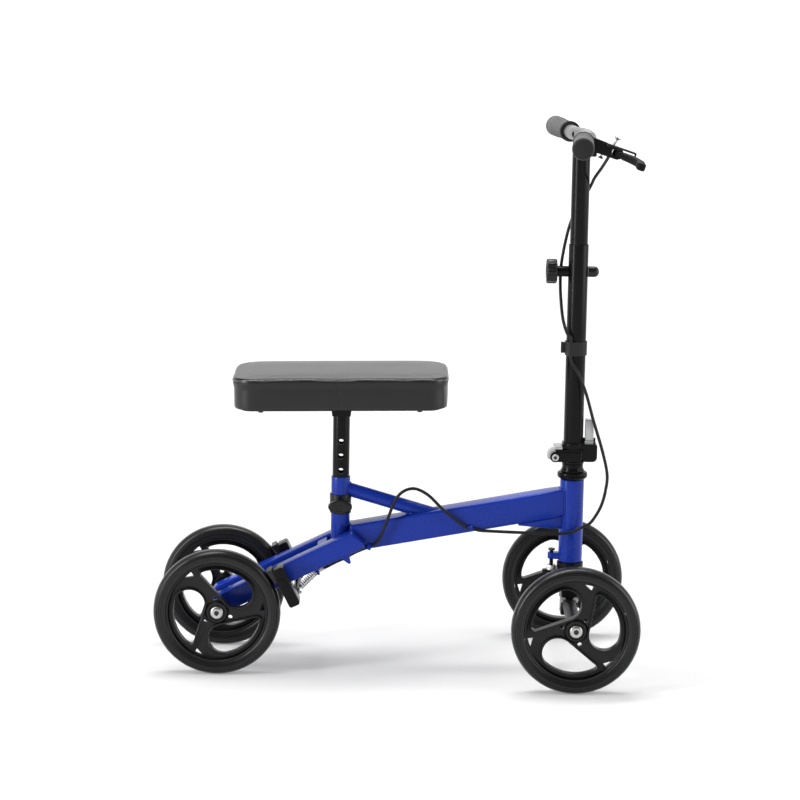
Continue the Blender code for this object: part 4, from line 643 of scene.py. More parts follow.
# The flat outline's own axes, laid into the world: "XY" as drawn, "XZ" thick along Y, "YZ" thick along X
layings = {
    "XY": Matrix.Identity(4),
    "XZ": Matrix.Rotation(math.pi / 2, 4, "X"),
    "YZ": Matrix(((0, 0, 1, 0), (1, 0, 0, 0), (0, 1, 0, 0), (0, 0, 0, 1))),
}
pointings = {"X": Matrix.Rotation(math.pi / 2, 4, "Y"), "Y": Matrix.Rotation(-math.pi / 2, 4, "X"),
             "Z": Matrix.Identity(4)}


def slab(name, outline, thickness, place=(0, 0, 0), laid="XZ", edge=0.0, segments=3):
    obj = extrudeOutline(name, outline, -thickness / 2, thickness / 2)
    turn(obj, Matrix.Translation(place) @ layings[laid])
    if edge:
        roundOff(obj, edge, segments)
    shadeSmooth(obj)
    return obj


def turned(name, profile, place, pointing="Z", edge=0.0, steps=64, smooth=smoothAngle):
    obj = spinProfile(name, profile, steps)
    turn(obj, Matrix.Translation(place) @ pointings[pointing])
    if edge:
        roundOff(obj, edge, 3)
    shadeSmooth(obj, smooth)
    return obj


def pipe(name, inner, outer, low, high, place, pointing="Z", edge=0.0005, steps=64):
    profile = [(inner, low), (outer, low), (outer, high), (inner, high)]
    return turned(name, profile, place, pointing, edge, steps)


def rod(name, start, end, radius, sides=40, edge=0.0):
    start, end = Vector(start), Vector(end)
    deselectAll()
    bpy.ops.mesh.primitive_cylinder_add(vertices=sides, radius=radius, depth=(end - start).length)
    obj = named(name)
    aim = (end - start).to_track_quat("Z", "Y").to_matrix().to_4x4()
    turn(obj, Matrix.Translation((start + end) / 2) @ aim)
    if edge:
        roundOff(obj, edge, 3)
    shadeSmooth(obj)
    return obj


def hexagon(name, start, end, radius, edge=0.0004):
    return rod(name, start, end, radius, 6, edge)


def weldOn(obj, *others):
    for other in others:
        combine(obj, other, "UNION")
    shadeSmooth(obj)
    return obj


def cutOut(obj, *others):
    for other in others:
        combine(obj, other, "DIFFERENCE")
    shadeSmooth(obj)
    return obj


def joinAll(name, pieces):
    pick(pieces[0])
    for other in pieces[1:]:
        other.select_set(True)
    bpy.ops.object.join()
    return named(name)


# A bead of weld: a rippled cord of metal laid along a seam
def bead(points, radius, closed=False):
    count = len(points)
    radii = [1.0 + 0.16 * math.sin(2.3 * i) + 0.05 * math.sin(5.1 * i) for i in range(count)]
    return tubeAlong("bead", points, radius, 8, closed, radii)


# Frame tubes, with the sizes and slopes that place everything on them
chassis = {
    "seatX": -0.0888, "railSlope": 26.3, "railDepth": 0.031,
    "railWidth": 0.030, "railY": 0.0353, "railTopX": -0.0705, "railBottomX": -0.047, "railCorner": 0.003,
    "mainSlope": 10.6, "mainWidth": 0.040, "mainDepth": 0.043, "mainCorner": 0.004, "mainTopAtSleeve": 0.2255,
    "sleeveRadius": 0.015, "sleeveBore": 0.0136, "sleeveLow": 0.185, "sleeveHigh": 0.302,
    "headRadius": 0.01885, "headBore": 0.0155, "headLow": 0.170, "headHigh": 0.303, "mainOverlap": 0.008,
    "pinch": 0.75, "pinchLength": 0.030,
    "braceZ": 0.2845, "braceSlope": -16, "braceLength": 0.165, "braceRadius": 0.011,
    "braceMitre": 0.0153, "collarRoom": (0.2427, 0.2743, 0.0175), "mainSpace": (-0.12, 0.2412),
    "gussetWidth": 0.034, "gussetLength": 0.066, "gussetOverlap": 0.004, "gussetDepth": 0.0215, "gussetLip": 0.003,
    "gussetPinch": 0.66, "gussetPinchLength": 0.026,
    "tabX": -0.088, "tabY": -0.0443, "tabThick": 0.003, "axleBore": 0.0093, "shaftBore": 0.0073,
    "pivotAlong": 0.1127, "lugBack": 0.0297, "lugZ": 0.178, "lugThick": 0.010, "lugBore": 0.00355, "gap": 0.0003,
    "lugEnd": 0.00625, "lugReach": 0.0132, "lugRoot": 0.008, "lugMitre": 0.0172,
    "tabShape": ((0, 0.003), (0.0095, -0.0135), (0.013, -0.0135), (0.017, 0.003)),
}
(frontX, frontY), (rearX, rearY), seatX = wheelPlaces["front_left"], wheelPlaces["rear_left"], chassis["seatX"]
railSlope = math.radians(chassis["railSlope"])
mainSlope = math.radians(chassis["mainSlope"])
braceSlope = math.radians(chassis["braceSlope"])
gap = chassis["gap"]


# A place on the rear rail, by its way up the rail from the axle and its height over the rail's middle line
def railPoint(along, up=0.0):
    return Vector((rearX + along * math.cos(railSlope) - up * math.sin(railSlope),
                   axleZ + along * math.sin(railSlope) + up * math.cos(railSlope)))


def railAlong(x, up):
    return (x - rearX + up * math.sin(railSlope)) / math.cos(railSlope)


def railSpot(along, y, up=0.0):
    point = railPoint(along, up)
    return Vector((point.x, y, point.y))


def mainTop(x):
    return chassis["mainTopAtSleeve"] + (x - seatX - chassis["sleeveRadius"]) * math.tan(mainSlope)


def mainBottom(x):
    return mainTop(x) - chassis["mainDepth"] / math.cos(mainSlope)


clips = {"radius": 0.0048, "bore": 0.0033, "length": 0.007,
         "places": (((0.119, -0.0239, 0.2249), -13.0), ((-0.0422, -0.0244, 0.1925), 22.0))}


# The tube's sides are cut across and pulled in towards its front end, where it meets the round head tube
def pinchEnd(obj, start, end, width):
    pick(obj)
    bpy.ops.object.mode_set(mode="EDIT")
    for share in (0.0, 0.35, 0.7):
        bpy.ops.mesh.select_all(action="SELECT")
        bpy.ops.mesh.bisect(plane_co=(start + (end - start) * share, 0, 0), plane_no=(1, 0, 0))
    bpy.ops.object.mode_set(mode="OBJECT")
    for vertex in obj.data.vertices:
        share = min(1.0, max(0.0, (vertex.co.x - start) / (end - start)))
        vertex.co.y *= 1 - (1 - width) * share * share * (3 - 2 * share)
    shadeSmooth(obj)


def makeMainTube():
    rear = seatX + chassis["sleeveRadius"] + gap
    front = frontX - chassis["headRadius"] + chassis["mainOverlap"]
    outline = [(rear, mainBottom(rear)), (front, mainBottom(front)), (front, mainTop(front)), (rear, mainTop(rear))]
    tube = slab("main_tube_painted", outline, chassis["mainWidth"], edge=chassis["mainCorner"], segments=5)
    pinchEnd(tube, front - chassis["pinchLength"], front, chassis["pinch"])
    cutOut(tube, rod("mitre", (frontX, 0, 0.1), (frontX, 0, 0.4), chassis["headRadius"] - gap, 96))
    for place, slope in clips["places"]:
        half = Vector((math.cos(math.radians(slope)), 0, -math.sin(math.radians(slope)))) * clips["length"] / 2
        spot = Vector(place)
        weldOn(tube, rod("clip", spot - half, spot + half, clips["radius"], 40, 0.0005))
        cutOut(tube, rod("clipBore", spot - 3 * half, spot + 3 * half, clips["bore"], 32))
    mount(tube, "frame", "blue", ["main_tube"])


def makeRail(hand, side):
    half = chassis["railDepth"] / 2
    y = side * chassis["railY"]
    top = railPoint(railAlong(chassis["railTopX"], half), half)
    bottom = railPoint(railAlong(chassis["railBottomX"], -half), -half)
    back = math.pi / 2 + railSlope
    outline = [bottom, top] + arcPoints((rearX, axleZ), half, back, back + math.pi, 36)
    rail = slab(f"rear_rail_{hand}_painted", outline, chassis["railWidth"], (0, y, 0), edge=chassis["railCorner"],
                segments=4)
    if side < 0:
        start = railAlong(chassis["tabX"], -half)
        tab = [railPoint(start + along, up - half) for along, up in chassis["tabShape"]]
        weldOn(rail, slab("tab", tab, chassis["tabThick"], (0, chassis["tabY"], 0), edge=0.0004))
    spot = railSpot(chassis["pivotAlong"], y)
    reach = Vector((0, chassis["railWidth"], 0))
    axleSpot = Vector((rearX, y, axleZ))
    cutOut(rail, rod("axleBore", axleSpot - reach, axleSpot + reach, chassis["axleBore"]),
           rod("shaftBore", spot - reach, spot + reach, chassis["shaftBore"]))
    mount(rail, "frame", "blue", [f"rear_rail_{hand}"])


def makeHeadTube():
    low, high = chassis["headLow"], chassis["headHigh"]
    tube = pipe("head_tube_painted", chassis["headBore"], chassis["headRadius"], low, high, (frontX, 0, 0),
                edge=0.0008, steps=96)
    back = frontX - chassis["lugBack"]
    lug = slab("lug", belt((back, 0), chassis["lugEnd"], (back + chassis["lugReach"], 0), chassis["lugRoot"]),
               chassis["lugThick"], (0, 0, chassis["lugZ"]), "XY", 0.0006)
    cutOut(lug, rod("bore", (back, 0, 0.16), (back, 0, 0.20), chassis["lugBore"]),
           rod("mitre", (frontX, 0, 0.16), (frontX, 0, 0.20), chassis["lugMitre"], 64))
    weldOn(tube, lug)
    mount(tube, "frame", "blue", ["head_tube"])


def makeGusset():
    front = frontX - chassis["headRadius"] + chassis["gussetOverlap"]
    rear = frontX - chassis["headRadius"] - chassis["gussetLength"]
    outline = [(rear, mainBottom(rear)), (rear, mainBottom(rear) - chassis["gussetLip"]),
               (front, mainBottom(front) - chassis["gussetDepth"]), (front, mainBottom(front))]
    gusset = slab("head_gusset_painted", outline, chassis["gussetWidth"], edge=0.0016, segments=3)
    pinchEnd(gusset, front - chassis["gussetPinchLength"], front, chassis["gussetPinch"])
    cutOut(gusset, rod("mitre", (frontX, 0, 0.1), (frontX, 0, 0.3), chassis["headRadius"] - gap, 96))
    mount(gusset, "frame", "blue", ["head_gusset"])


def makeSeatTubes():
    sleeve = pipe("seat_sleeve_painted", chassis["sleeveBore"], chassis["sleeveRadius"], chassis["sleeveLow"],
                  chassis["sleeveHigh"], (seatX, 0, 0))
    mount(sleeve, "frame", "blue", ["seat_sleeve"])
    start = Vector((seatX, 0, chassis["braceZ"]))
    end = start + chassis["braceLength"] * Vector((1, 0, math.tan(braceSlope)))
    brace = rod("seat_brace_painted", start, end, chassis["braceRadius"], 64)
    # the brace ends at the sleeve, leaves room for the clamp collar and stands on the main tube
    low, high, radius = chassis["collarRoom"]
    back, front = chassis["mainSpace"]
    cutOut(brace, rod("mitre", (seatX, 0, 0.2), (seatX, 0, 0.4), chassis["braceMitre"], 96),
           rod("collarRoom", (seatX, 0, low), (seatX, 0, high), radius, 64),
           slab("mainSpace", [(back, 0), (front, 0), (front, mainTop(front) + gap), (back, mainTop(back) + gap)], 0.08))
    mount(brace, "frame", "blue", ["seat_brace"])


makeMainTube()
makeRail("right", -1)
makeRail("left", 1)
makeHeadTube()
makeGusset()
makeSeatTubes()
print("frame tubes done")

# Weld beads where the tubes meet: round the main tube's front end, across its rear end, and at the brace's two ends
welds = {"radius": 0.0013, "pitch": 0.0011, "sleeveRing": 0.0152, "braceRing": 0.0112, "braceLow": 0.2748,
         "cornerY": 0.0131, "cornerRound": 0.0022, "cornerDrop": 0.003, "sideY": 0.0153, "sideEnd": 0.017}


# The brace's surface all round: a point's place across, and its height over the brace's middle line
def braceRing(steps):
    turns = [2 * math.pi * i / steps for i in range(steps)]
    ring = welds["braceRing"]
    return [(ring * math.cos(a), ring * math.sin(a) / math.cos(braceSlope)) for a in turns]


def makeWelds():
    r = welds["radius"]
    head = chassis["headRadius"]
    half = chassis["mainWidth"] / 2 - chassis["mainCorner"]

    def onHead(y, z):
        return Vector((frontX - math.sqrt(head ** 2 - min(abs(y), head - 1e-5) ** 2) - 0.0004, y, z))

    low, top, drop = mainBottom(frontX - head), mainTop(frontX - head), welds["cornerDrop"]
    path = [onHead(y, top + 0.0002) for y in (half * 0.82 * i / 10 for i in range(-10, 11))]
    for side in (1, -1):
        down = [onHead(side * (welds["cornerY"] + welds["cornerRound"] * math.sin(math.pi / 2 * i / 6)),
                       top - drop * i / 6) for i in range(7)]
        down += [onHead(side * welds["sideY"], top - drop + (low - welds["sideEnd"] - top) * i / 20)
                 for i in range(1, 21)]
        if side > 0:
            path = path + down
        else:
            path = list(reversed(down)) + path
    beads = [bead(evenly(path, welds["pitch"]), r)]
    sleeve = chassis["sleeveRadius"]
    sleevePath = []
    for i in range(41):
        y = -half + 2 * half * i / 40
        y = max(-sleeve + 0.0001, min(sleeve - 0.0001, y))
        x = seatX + math.sqrt(sleeve ** 2 - y ** 2)
        sleevePath.append(Vector((x + 0.0004, y, mainTop(x) + 0.0002)))
    beads.append(bead(evenly(sleevePath, welds["pitch"]), r))
    brace = []
    for y, lift in braceRing(72):
        x = seatX + math.sqrt(welds["sleeveRing"] ** 2 - y * y)
        brace.append(Vector((x + 0.0003, y, chassis["braceZ"] + (x - seatX) * math.tan(braceSlope) + lift)))
    beads.append(bead(evenly([p for p in brace if p.z > welds["braceLow"]], welds["pitch"]), r * 0.9))
    foot = []
    for y, lift in braceRing(96):
        # where the brace's surface meets the top of the main tube
        x = (chassis["braceZ"] - seatX * math.tan(braceSlope) + lift - chassis["mainTopAtSleeve"]
             + (seatX + sleeve) * math.tan(mainSlope)) / (math.tan(mainSlope) - math.tan(braceSlope))
        foot.append(Vector((x, y, mainTop(x) + 0.0004)))
    beads.append(bead(evenly(foot, welds["pitch"], True), r, True))
    welded = joinAll("frame_welds", beads)
    shadeSmooth(welded, 60)
    mount(welded, "frame", "blue")


makeWelds()

# Head bearings, fork, axles and bolts
fork = {"postX": 0.027, "postY": 0.036, "low": 0.084, "high": 0.1564, "corner": 0.003, "crownReach": 0.044,
        "crownWidth": 0.032, "crownTop": 0.155, "crownThick": 0.005, "axleRadius": 0.011,
        "boltX": (-0.0104, 0.0094), "boltZ": 0.109, "boltRadius": 0.0038}


# Each ring's body, its rounding, and its outer profile from the top down
headset = {
    "bore": 0.0132,
    "rings": {
        "headset_cup_lower": ("frame", 0.0003, ((0.01885, 0.1697), (0.021, 0.1682), (0.021, 0.159), (0.019, 0.157))),
        "headset_cup_upper": ("frame", 0.0004, (
            (0.0185, 0.316), (0.0228, 0.3148), (0.0238, 0.3128), (0.0238, 0.3108), (0.0226, 0.3100), (0.0240, 0.3092),
            (0.0232, 0.3068), (0.01885, 0.3033))),
        "headset_sleeve": ("fork", 0.0003, (
            (0.0168, 0.3282), (0.0165, 0.3240), (0.0172, 0.3205), (0.0186, 0.3183), (0.0186, 0.3163))),
    },
}


def makeHeadset():
    for name, (body, edge, outer) in headset["rings"].items():
        profile = list(outer) + [(headset["bore"], outer[-1][1]), (headset["bore"], outer[0][1])]
        ring = turned(f"{name}_fine", profile, (frontX, 0, 0), edge=edge)
        mount(ring, body, "black", [name])


def makeFork():
    x, y, low, top = fork["postX"] / 2, fork["postY"] / 2, fork["low"], fork["high"]
    outline = softBox(frontX - x, -y, frontX + x, y, fork["corner"], 6)
    post = slab("fork_post_coated", outline, top - low, (0, 0, (top + low) / 2), "XY", 0.0008)
    crown = belt((frontX - fork["crownReach"] + 0.006, 0), 0.006, (frontX, 0), fork["crownWidth"] / 2, 24)
    weldOn(post, slab("crown", crown, fork["crownThick"], (0, 0, fork["crownTop"] - fork["crownThick"] / 2), "XY",
                      0.0006))
    cutOut(post, rod("bore", (frontX, -0.04, axleZ), (frontX, 0.04, axleZ), fork["axleRadius"] + gap, 64))
    mount(post, "fork", "black", ["fork_post"])
    for side in (-1, 1):
        for i, offset in enumerate(fork["boltX"]):
            spot = Vector((frontX + offset, side * (y - 0.0002), fork["boltZ"]))
            out = Vector((0, side, 0))
            washer = rod("fork_bolt", spot, spot + out * 0.0008, fork["boltRadius"] * 1.22, 32, 0.0002)
            head = hexagon("head", spot + out * 0.0006, spot + out * 0.0036, fork["boltRadius"])
            weldOn(washer, head)
            washer.name = washer.data.name = f"fork_bolt_{'left' if side > 0 else 'right'}_{i + 1}"
            mount(washer, "fork", "zinc")


axle = {"hubHalf": 0.009, "endRadius": 0.006, "rearRadius": 0.009}


def makeAxle(name, x, halfTrack, shoulderRadius, body):
    end = halfTrack + axle["hubHalf"]
    shoulder = halfTrack - axle["hubHalf"] - gap
    profile = [(0, end), (axle["endRadius"], end), (axle["endRadius"], shoulder), (shoulderRadius, shoulder)]
    profile += [(radius, -height) for radius, height in reversed(profile)]
    shaft = turned(f"{name}_fine", profile, (x, 0, axleZ), "Y", 0.0004)
    mount(shaft, body, "oxide", [name])


wheelBolt = {"radius": 0.010, "height": 0.0037, "socket": 0.0044, "socketDepth": 0.0030}


def makeWheelBolt(name, x, y, body):
    side = math.copysign(1, y)
    r, h = wheelBolt["radius"], wheelBolt["height"]
    dome = [(0, h)] + [(r * 0.45 + r * 0.55 * math.sin(a), h * (0.25 + 0.75 * math.cos(a)))
                       for a in (math.pi / 2 * i / 8 for i in range(9))] + [(r, 0), (0, 0)]
    bolt = turned(f"{name}_domed", dome, (0, 0, 0), steps=48)
    floor = h - wheelBolt["socketDepth"]
    cutOut(bolt, hexagon("socket", (0, 0, floor), (0, 0, h + 0.002), wheelBolt["socket"], 0))
    face = Vector((x, side * (abs(y) + axle["hubHalf"] + gap), axleZ))
    # a dark hexagon at the bottom of the socket: painted shade in the recess
    socket = hexagon(f"{name}_socket", (0, 0, floor), (0, 0, floor + 0.0004), wheelBolt["socket"] - 0.0002, 0)
    for piece, finish in ((bolt, "zinc"), (socket, "oxide")):
        turn(piece, Matrix.Translation(face) @ Matrix.Rotation(-side * math.pi / 2, 4, "X"))
        mount(piece, body, finish, [name])


stopBolt = {"headZ": 0.1865, "headHigh": 0.003, "headRadius": 0.0060, "radius": 0.00325, "threadDepth": 0.0004,
            "threadStep": 0.00045, "threadSteps": 58, "nut": (0.1556, 0.1628, 0.0080),
            "washer": (0.1552, 0.1566, 0.0092)}


def makeStopBolt():
    place = Vector((frontX - chassis["lugBack"], 0, 0))
    head, under = stopBolt["headZ"], stopBolt["headZ"] - 0.0002
    up = Vector((0, 0, 1))
    threads = [(0, under)] + [(stopBolt["radius"] - (stopBolt["threadDepth"] if i % 2 else 0),
                               under - stopBolt["threadStep"] * i) for i in range(stopBolt["threadSteps"])]
    threads += [(0, threads[-1][1])]
    bolt = turned("steering_stop_bolt_fine", threads, place, steps=24)
    weldOn(bolt, hexagon("head", place + up * head, place + up * (head + stopBolt["headHigh"]),
                         stopBolt["headRadius"], 0.0006))
    mount(bolt, "frame", "oxide", ["steering_stop_bolt"])
    low, high, radius = stopBolt["nut"]
    nut = hexagon("steering_stop_nut", place + up * low, place + up * high, radius, 0.0009)
    low, high, radius = stopBolt["washer"]
    weldOn(nut, rod("washer", place + up * low, place + up * high, radius, 32, 0.0003))
    mount(nut, "frame", "zinc", ["steering_stop_bolt"])


makeHeadset()
makeFork()
makeAxle("front_axle", frontX, frontY, fork["axleRadius"], "fork")
makeAxle("rear_axle", rearX, rearY, axle["rearRadius"], "frame")
for hand, side in (("right", -1), ("left", 1)):
    makeWheelBolt(f"front_bolt_{hand}", frontX, side * frontY, "fork")
    makeWheelBolt(f"rear_bolt_{hand}", rearX, side * rearY, "frame")
makeStopBolt()
print("fork and axles done")

# Fold hinge and its latch
hinge = {"pivot": (0.2502, 0.3405), "eye": 0.008, "width": 0.034, "baseLow": 0.333, "baseHigh": 0.3492,
         "baseFront": 0.292, "flange": 0.0176, "spigot": 0.0127, "neckTop": 0.3285, "knuckle": 0.012,
         "knuckleWidth": 0.022, "knuckleFoot": 0.0075, "plate": 0.003, "plateEnd": 0.2612, "plateRise": 0.0036,
         "tongue": 0.0046, "pin": 0.003, "pinHead": 0.0055, "pinHeadThick": 0.003, "socketShare": 0.58,
         "headTop": 0.3625, "leverBore": 0.0023, "leverPin": 0.002,
         "latchBack": 0.2932, "latchFront": 0.3165, "latchTop": 0.361, "latchWidth": 0.026,
         "leverX": 0.30405, "leverZ": 0.367, "leverLength": 0.034, "leverWidth": 0.0135, "earThick": 0.0027}


def makeHinge():
    pivotX, pivotZ = hinge["pivot"]
    low, high, front = hinge["baseLow"], hinge["baseHigh"], hinge["baseFront"]
    outline = arcPoints(hinge["pivot"], hinge["eye"], math.radians(100), math.radians(290), 24)
    outline += [Vector(p) for p in ((pivotX + 0.006, low), (front - 0.002, low), (front, low + 0.002), (front, high),
                                    (pivotX + 0.0045, high))]
    base = slab("hinge_base_fine", outline, hinge["width"], edge=0.0007)
    flange = [(0, low + 0.003), (hinge["spigot"], low + 0.003), (hinge["spigot"], low - gap),
              (hinge["flange"], low - gap), (hinge["flange"], hinge["neckTop"] + 0.0012),
              (hinge["flange"] - 0.0010, hinge["neckTop"]), (0, hinge["neckTop"])]
    weldOn(base, turned("flange", flange, (frontX, 0, 0), edge=0.0004))
    left = Vector((0, 1, 0))
    pivot = Vector((pivotX, 0, pivotZ))
    bore = (pivot - left * 0.05, pivot + left * 0.05, hinge["pin"] + gap)
    reach = left * (hinge["knuckleWidth"] / 2 + gap)
    cutOut(base, rod("room", pivot - reach, pivot + reach, hinge["knuckle"] + 2 * gap, 64), rod("bore", *bore))
    mount(base, "fork", "black", ["hinge_base"])
    end, head, thick = hinge["width"] / 2 + gap, hinge["pinHead"], hinge["pinHeadThick"]
    pin = rod("hinge_pin_fine", pivot - left * (end + 0.001), pivot + left * (end + 0.004), hinge["pin"], 32, 0.0004)
    weldOn(pin, rod("head", pivot - left * end, pivot - left * (end + thick), head, 40, 0.0007),
           hexagon("nut", pivot + left * end, pivot + left * (end + thick), head))
    cutOut(pin, hexagon("socket", pivot - left * (end + 0.0008), pivot - left * (end + 2 * thick),
                        head * hinge["socketShare"], 0))
    mount(pin, "fork", "zinc", ["hinge_pin"])
    # a dark hexagon at the bottom of the pin head's socket: painted shade in the recess
    socket = hexagon("hinge_pin_socket_shade", pivot - left * (end + 0.0006), pivot - left * (end + 0.0012),
                     head * (hinge["socketShare"] + 0.01), 0)
    mount(socket, "fork", "oxide")
    low = high + gap
    high = low + hinge["plate"]
    plateEnd, lift = hinge["plateEnd"], low + hinge["plateRise"]
    raised = lift + hinge["tongue"]
    outline = softOutline([(pivotX - 0.0030, lift, 0.0015), (plateEnd, lift, 0), (plateEnd, raised, 0),
                           (pivotX - 0.0012, raised, 0.0022)], 6)
    knuckle = slab("hinge_knuckle_fine", outline, hinge["width"] - 0.002, edge=0.0007)
    eye = arcPoints(hinge["pivot"], hinge["knuckle"], math.radians(90), math.radians(200), 24)
    foot = hinge["knuckleFoot"]
    eye += arcPoints(hinge["pivot"], foot, math.radians(215), math.radians(360), 20)
    eye.append(Vector((pivotX + foot, high - gap / 2)))
    weldOn(knuckle, slab("eye", eye, hinge["knuckleWidth"], edge=0.0004))
    cutOut(knuckle, rod("bore", *bore))
    mount(knuckle, "column", "latch", ["hinge_knuckle"])
    outline = [(pivotX + 0.0005, low), (hinge["latchBack"] - gap, low), (hinge["latchBack"] - gap, high),
               (plateEnd + gap, high), (plateEnd, lift - gap), (pivotX + 0.0005, lift - gap)]
    plate = slab("hinge_plate_fine", outline, hinge["width"] - 0.001, edge=0.0005)
    mount(plate, "column", "black", ["hinge_knuckle"])
    low = high + gap
    back, front, rear = hinge["latchBack"], hinge["latchFront"], frontX - 0.0175
    top, latchTop = hinge["headTop"], hinge["latchTop"]
    outline = softOutline([(rear, low, 0), (back, low, 0), (back, hinge["baseLow"], 0.0006),
                           (front, hinge["baseLow"], 0.0075), (front, latchTop, 0.0030),
                           (back + 0.0022, latchTop, 0), (back + 0.0007, top, 0), (rear, top, 0.002)], 6)
    head = slab("hinge_head_fine", outline, hinge["latchWidth"], edge=0.0008)
    weldOn(head, rod("disc", (frontX, 0, low), (frontX, 0, top - 0.0002), hinge["width"] / 2, 64, 0.0005))
    leverX, leverZ = hinge["leverX"], hinge["leverZ"]
    side = hinge["leverWidth"] / 2 + hinge["earThick"] / 2 + gap
    for x in (leverX - side, leverX + side):
        ear = softOutline([(-0.006, latchTop - 0.002, 0), (0.006, latchTop - 0.002, 0),
                           (0.0045, latchTop + 0.009, 0.003), (-0.0045, latchTop + 0.009, 0.003)], 6)
        weldOn(head, slab("ear", ear, hinge["earThick"], (x, 0, 0), "YZ", 0.0003))
    cutOut(head, rod("bore", (leverX - 0.03, 0, leverZ), (leverX + 0.03, 0, leverZ), hinge["leverBore"]))
    mount(head, "column", "black", ["hinge_head"])
    length = hinge["leverLength"]
    outline = softOutline([(-0.0045, -0.0028, 0.0025), (0.0045, -0.0028, 0.0025), (0.0055, length * 0.55, 0.003),
                           (0.0045, length, 0.003), (-0.0045, length, 0.003), (-0.0055, length * 0.55, 0.003)], 8)
    lever = slab("latch_lever_fine", outline, hinge["leverWidth"], (leverX, 0, leverZ), "YZ", 0.0011)
    half = side + hinge["earThick"] / 2
    weldOn(lever, rod("pin", (leverX - half, 0, leverZ), (leverX + half, 0, leverZ), hinge["leverPin"], 32, 0.0003))
    mount(lever, "latch_lever", "latch", ["latch_lever"])


makeHinge()

# Column, its height clamp and the handlebar post
column = {"radius": 0.0155, "bore": 0.0143, "low": 0.3628, "high": 0.678, "knobZ": 0.635, "boss": 0.0085,
          "bossEnd": 0.033, "bossBore": 0.0043, "screw": 0.004, "knobRadius": 0.0195, "knobThick": 0.017, "lobes": 8,
          "lobeSteps": 12, "lobeDepth": 0.0012, "nutX": 0.0158, "nutRadius": 0.0085, "nutHigh": 0.0172,
          "nutBend": 0.0095, "nutDome": 0.0077, "nutCollar": (0.0178, 0.0084), "postRadius": 0.014,
          "postBore": 0.0125, "postLow": 0.478, "postHigh": 0.8425, "capZ": (0.8294, 0.8334), "capRadius": 0.0133,
          "plugZ": 0.8215, "plugX": (0.0133, 0.0235), "plugRadius": 0.0065, "barX": 0.0095, "barZ": 0.8455,
          "barRadius": 0.0111}


def makeColumn():
    z = column["knobZ"]
    tube = pipe("column_tube_fine", column["bore"], column["radius"], column["low"], column["high"], (frontX, 0, 0),
                edge=0.0005, steps=80)
    boss = rod("boss", (frontX - 0.0147, 0, z), (frontX - column["bossEnd"] + gap, 0, z), column["boss"], 48, 0.0006)
    weldOn(tube, cutOut(boss, rod("mitre", (frontX, 0, z - 0.02), (frontX, 0, z + 0.02), 0.0149, 80)))
    cutOut(tube, rod("bore", (frontX - 0.014, 0, z), (frontX - 0.05, 0, z), column["bossBore"], 32))
    mount(tube, "column", "black", ["column_tube"])
    start, radius = frontX + column["nutX"], column["nutRadius"]
    dome = [(0, column["nutHigh"])] + [(radius * math.cos(a), column["nutBend"] + column["nutDome"] * math.sin(a))
                                       for a in (math.pi / 2 * (1 - i / 10) for i in range(1, 11))]
    nut = turned("height_nut_fine", dome + [(radius, 0), (0, 0)], (start, 0, z), "X", steps=48)
    collarX, radius = column["nutCollar"]
    weldOn(nut, rod("collar", (start, 0, z), (frontX + collarX, 0, z), radius, 48, 0.0004))
    mount(nut, "column", "plastic", ["height_nut"])
    lobes = []
    count = column["lobes"] * column["lobeSteps"]
    for i in range(count):
        dip = column["lobeDepth"] * (1 - math.cos(2 * math.pi * i / column["lobeSteps"]))
        lobes.append(polar(column["knobRadius"] - dip, 2 * math.pi * i / count))
    thick = column["knobThick"]
    back = frontX - column["bossEnd"]
    knob = slab("height_knob_fine", lobes, thick, (back - thick / 2, 0, z), "YZ", 0.003, 4)
    cutOut(knob, turned("dish", [(0, -0.004), (0.0118, -0.004), (0.0105, 0.0012), (0, 0.0012)],
                        (back - thick, 0, z), "X", 0.0004))
    weldOn(knob, rod("screw", (back - thick / 2, 0, z), (frontX - 0.0146, 0, z), column["screw"], 24))
    mount(knob, "height_knob", "plastic", ["height_knob"])
    post = pipe("handlebar_post_fine", column["postBore"], column["postRadius"], column["postLow"],
                column["postHigh"], (frontX, 0, 0), edge=0.0004, steps=80)
    (capLow, capHigh), (near, far), plugZ = column["capZ"], column["plugX"], column["plugZ"]
    weldOn(post, rod("cap", (frontX, 0, capLow), (frontX, 0, capHigh), column["capRadius"], 64),
           rod("plug", (frontX + near, 0, plugZ), (frontX + far, 0, plugZ), column["plugRadius"], 40, 0.0008))
    saddleX, saddleZ = frontX + column["barX"], column["barZ"]
    cutOut(post, rod("saddle", (saddleX, -0.03, saddleZ), (saddleX, 0.03, saddleZ), column["barRadius"] + 2 * gap, 80))
    mount(post, "handlebar", "black", ["handlebar_post"])


makeColumn()
print("hinge and column done")

# Handlebar and grips, in the bar's own frame: +Y to the left, turned a little about the column
barFrame = Matrix.Translation((frontX, 0, column["barZ"])) @ Matrix.Rotation(math.radians(1.5), 4, "Z")
bar = {"centreX": 0.0095, "gripX": -0.0078, "endX": -0.0211, "gripStart": 0.107, "gripEnd": 0.235,
       "bendStart": 0.018, "bendEnd": 0.070, "radius": 0.0111, "gripRadius": 0.0165, "flange": 0.009,
       "ribPitch": 0.0030, "ribDepth": 0.0007, "ribs": 22, "cap": 0.003, "grooves": 3, "grooveStart": 0.020,
       "groovePitch": 0.0062, "grooveDepth": 0.0012, "steps": 90, "holeY": 0.051, "holeRadius": 0.0046,
       "holeFrom": 0.0040, "holeTo": 0.0160, "plug": (0.0035, 0.0075, 0.0049)}
barSweep = math.atan((bar["gripX"] - bar["endX"]) / (bar["gripEnd"] - bar["gripStart"]))


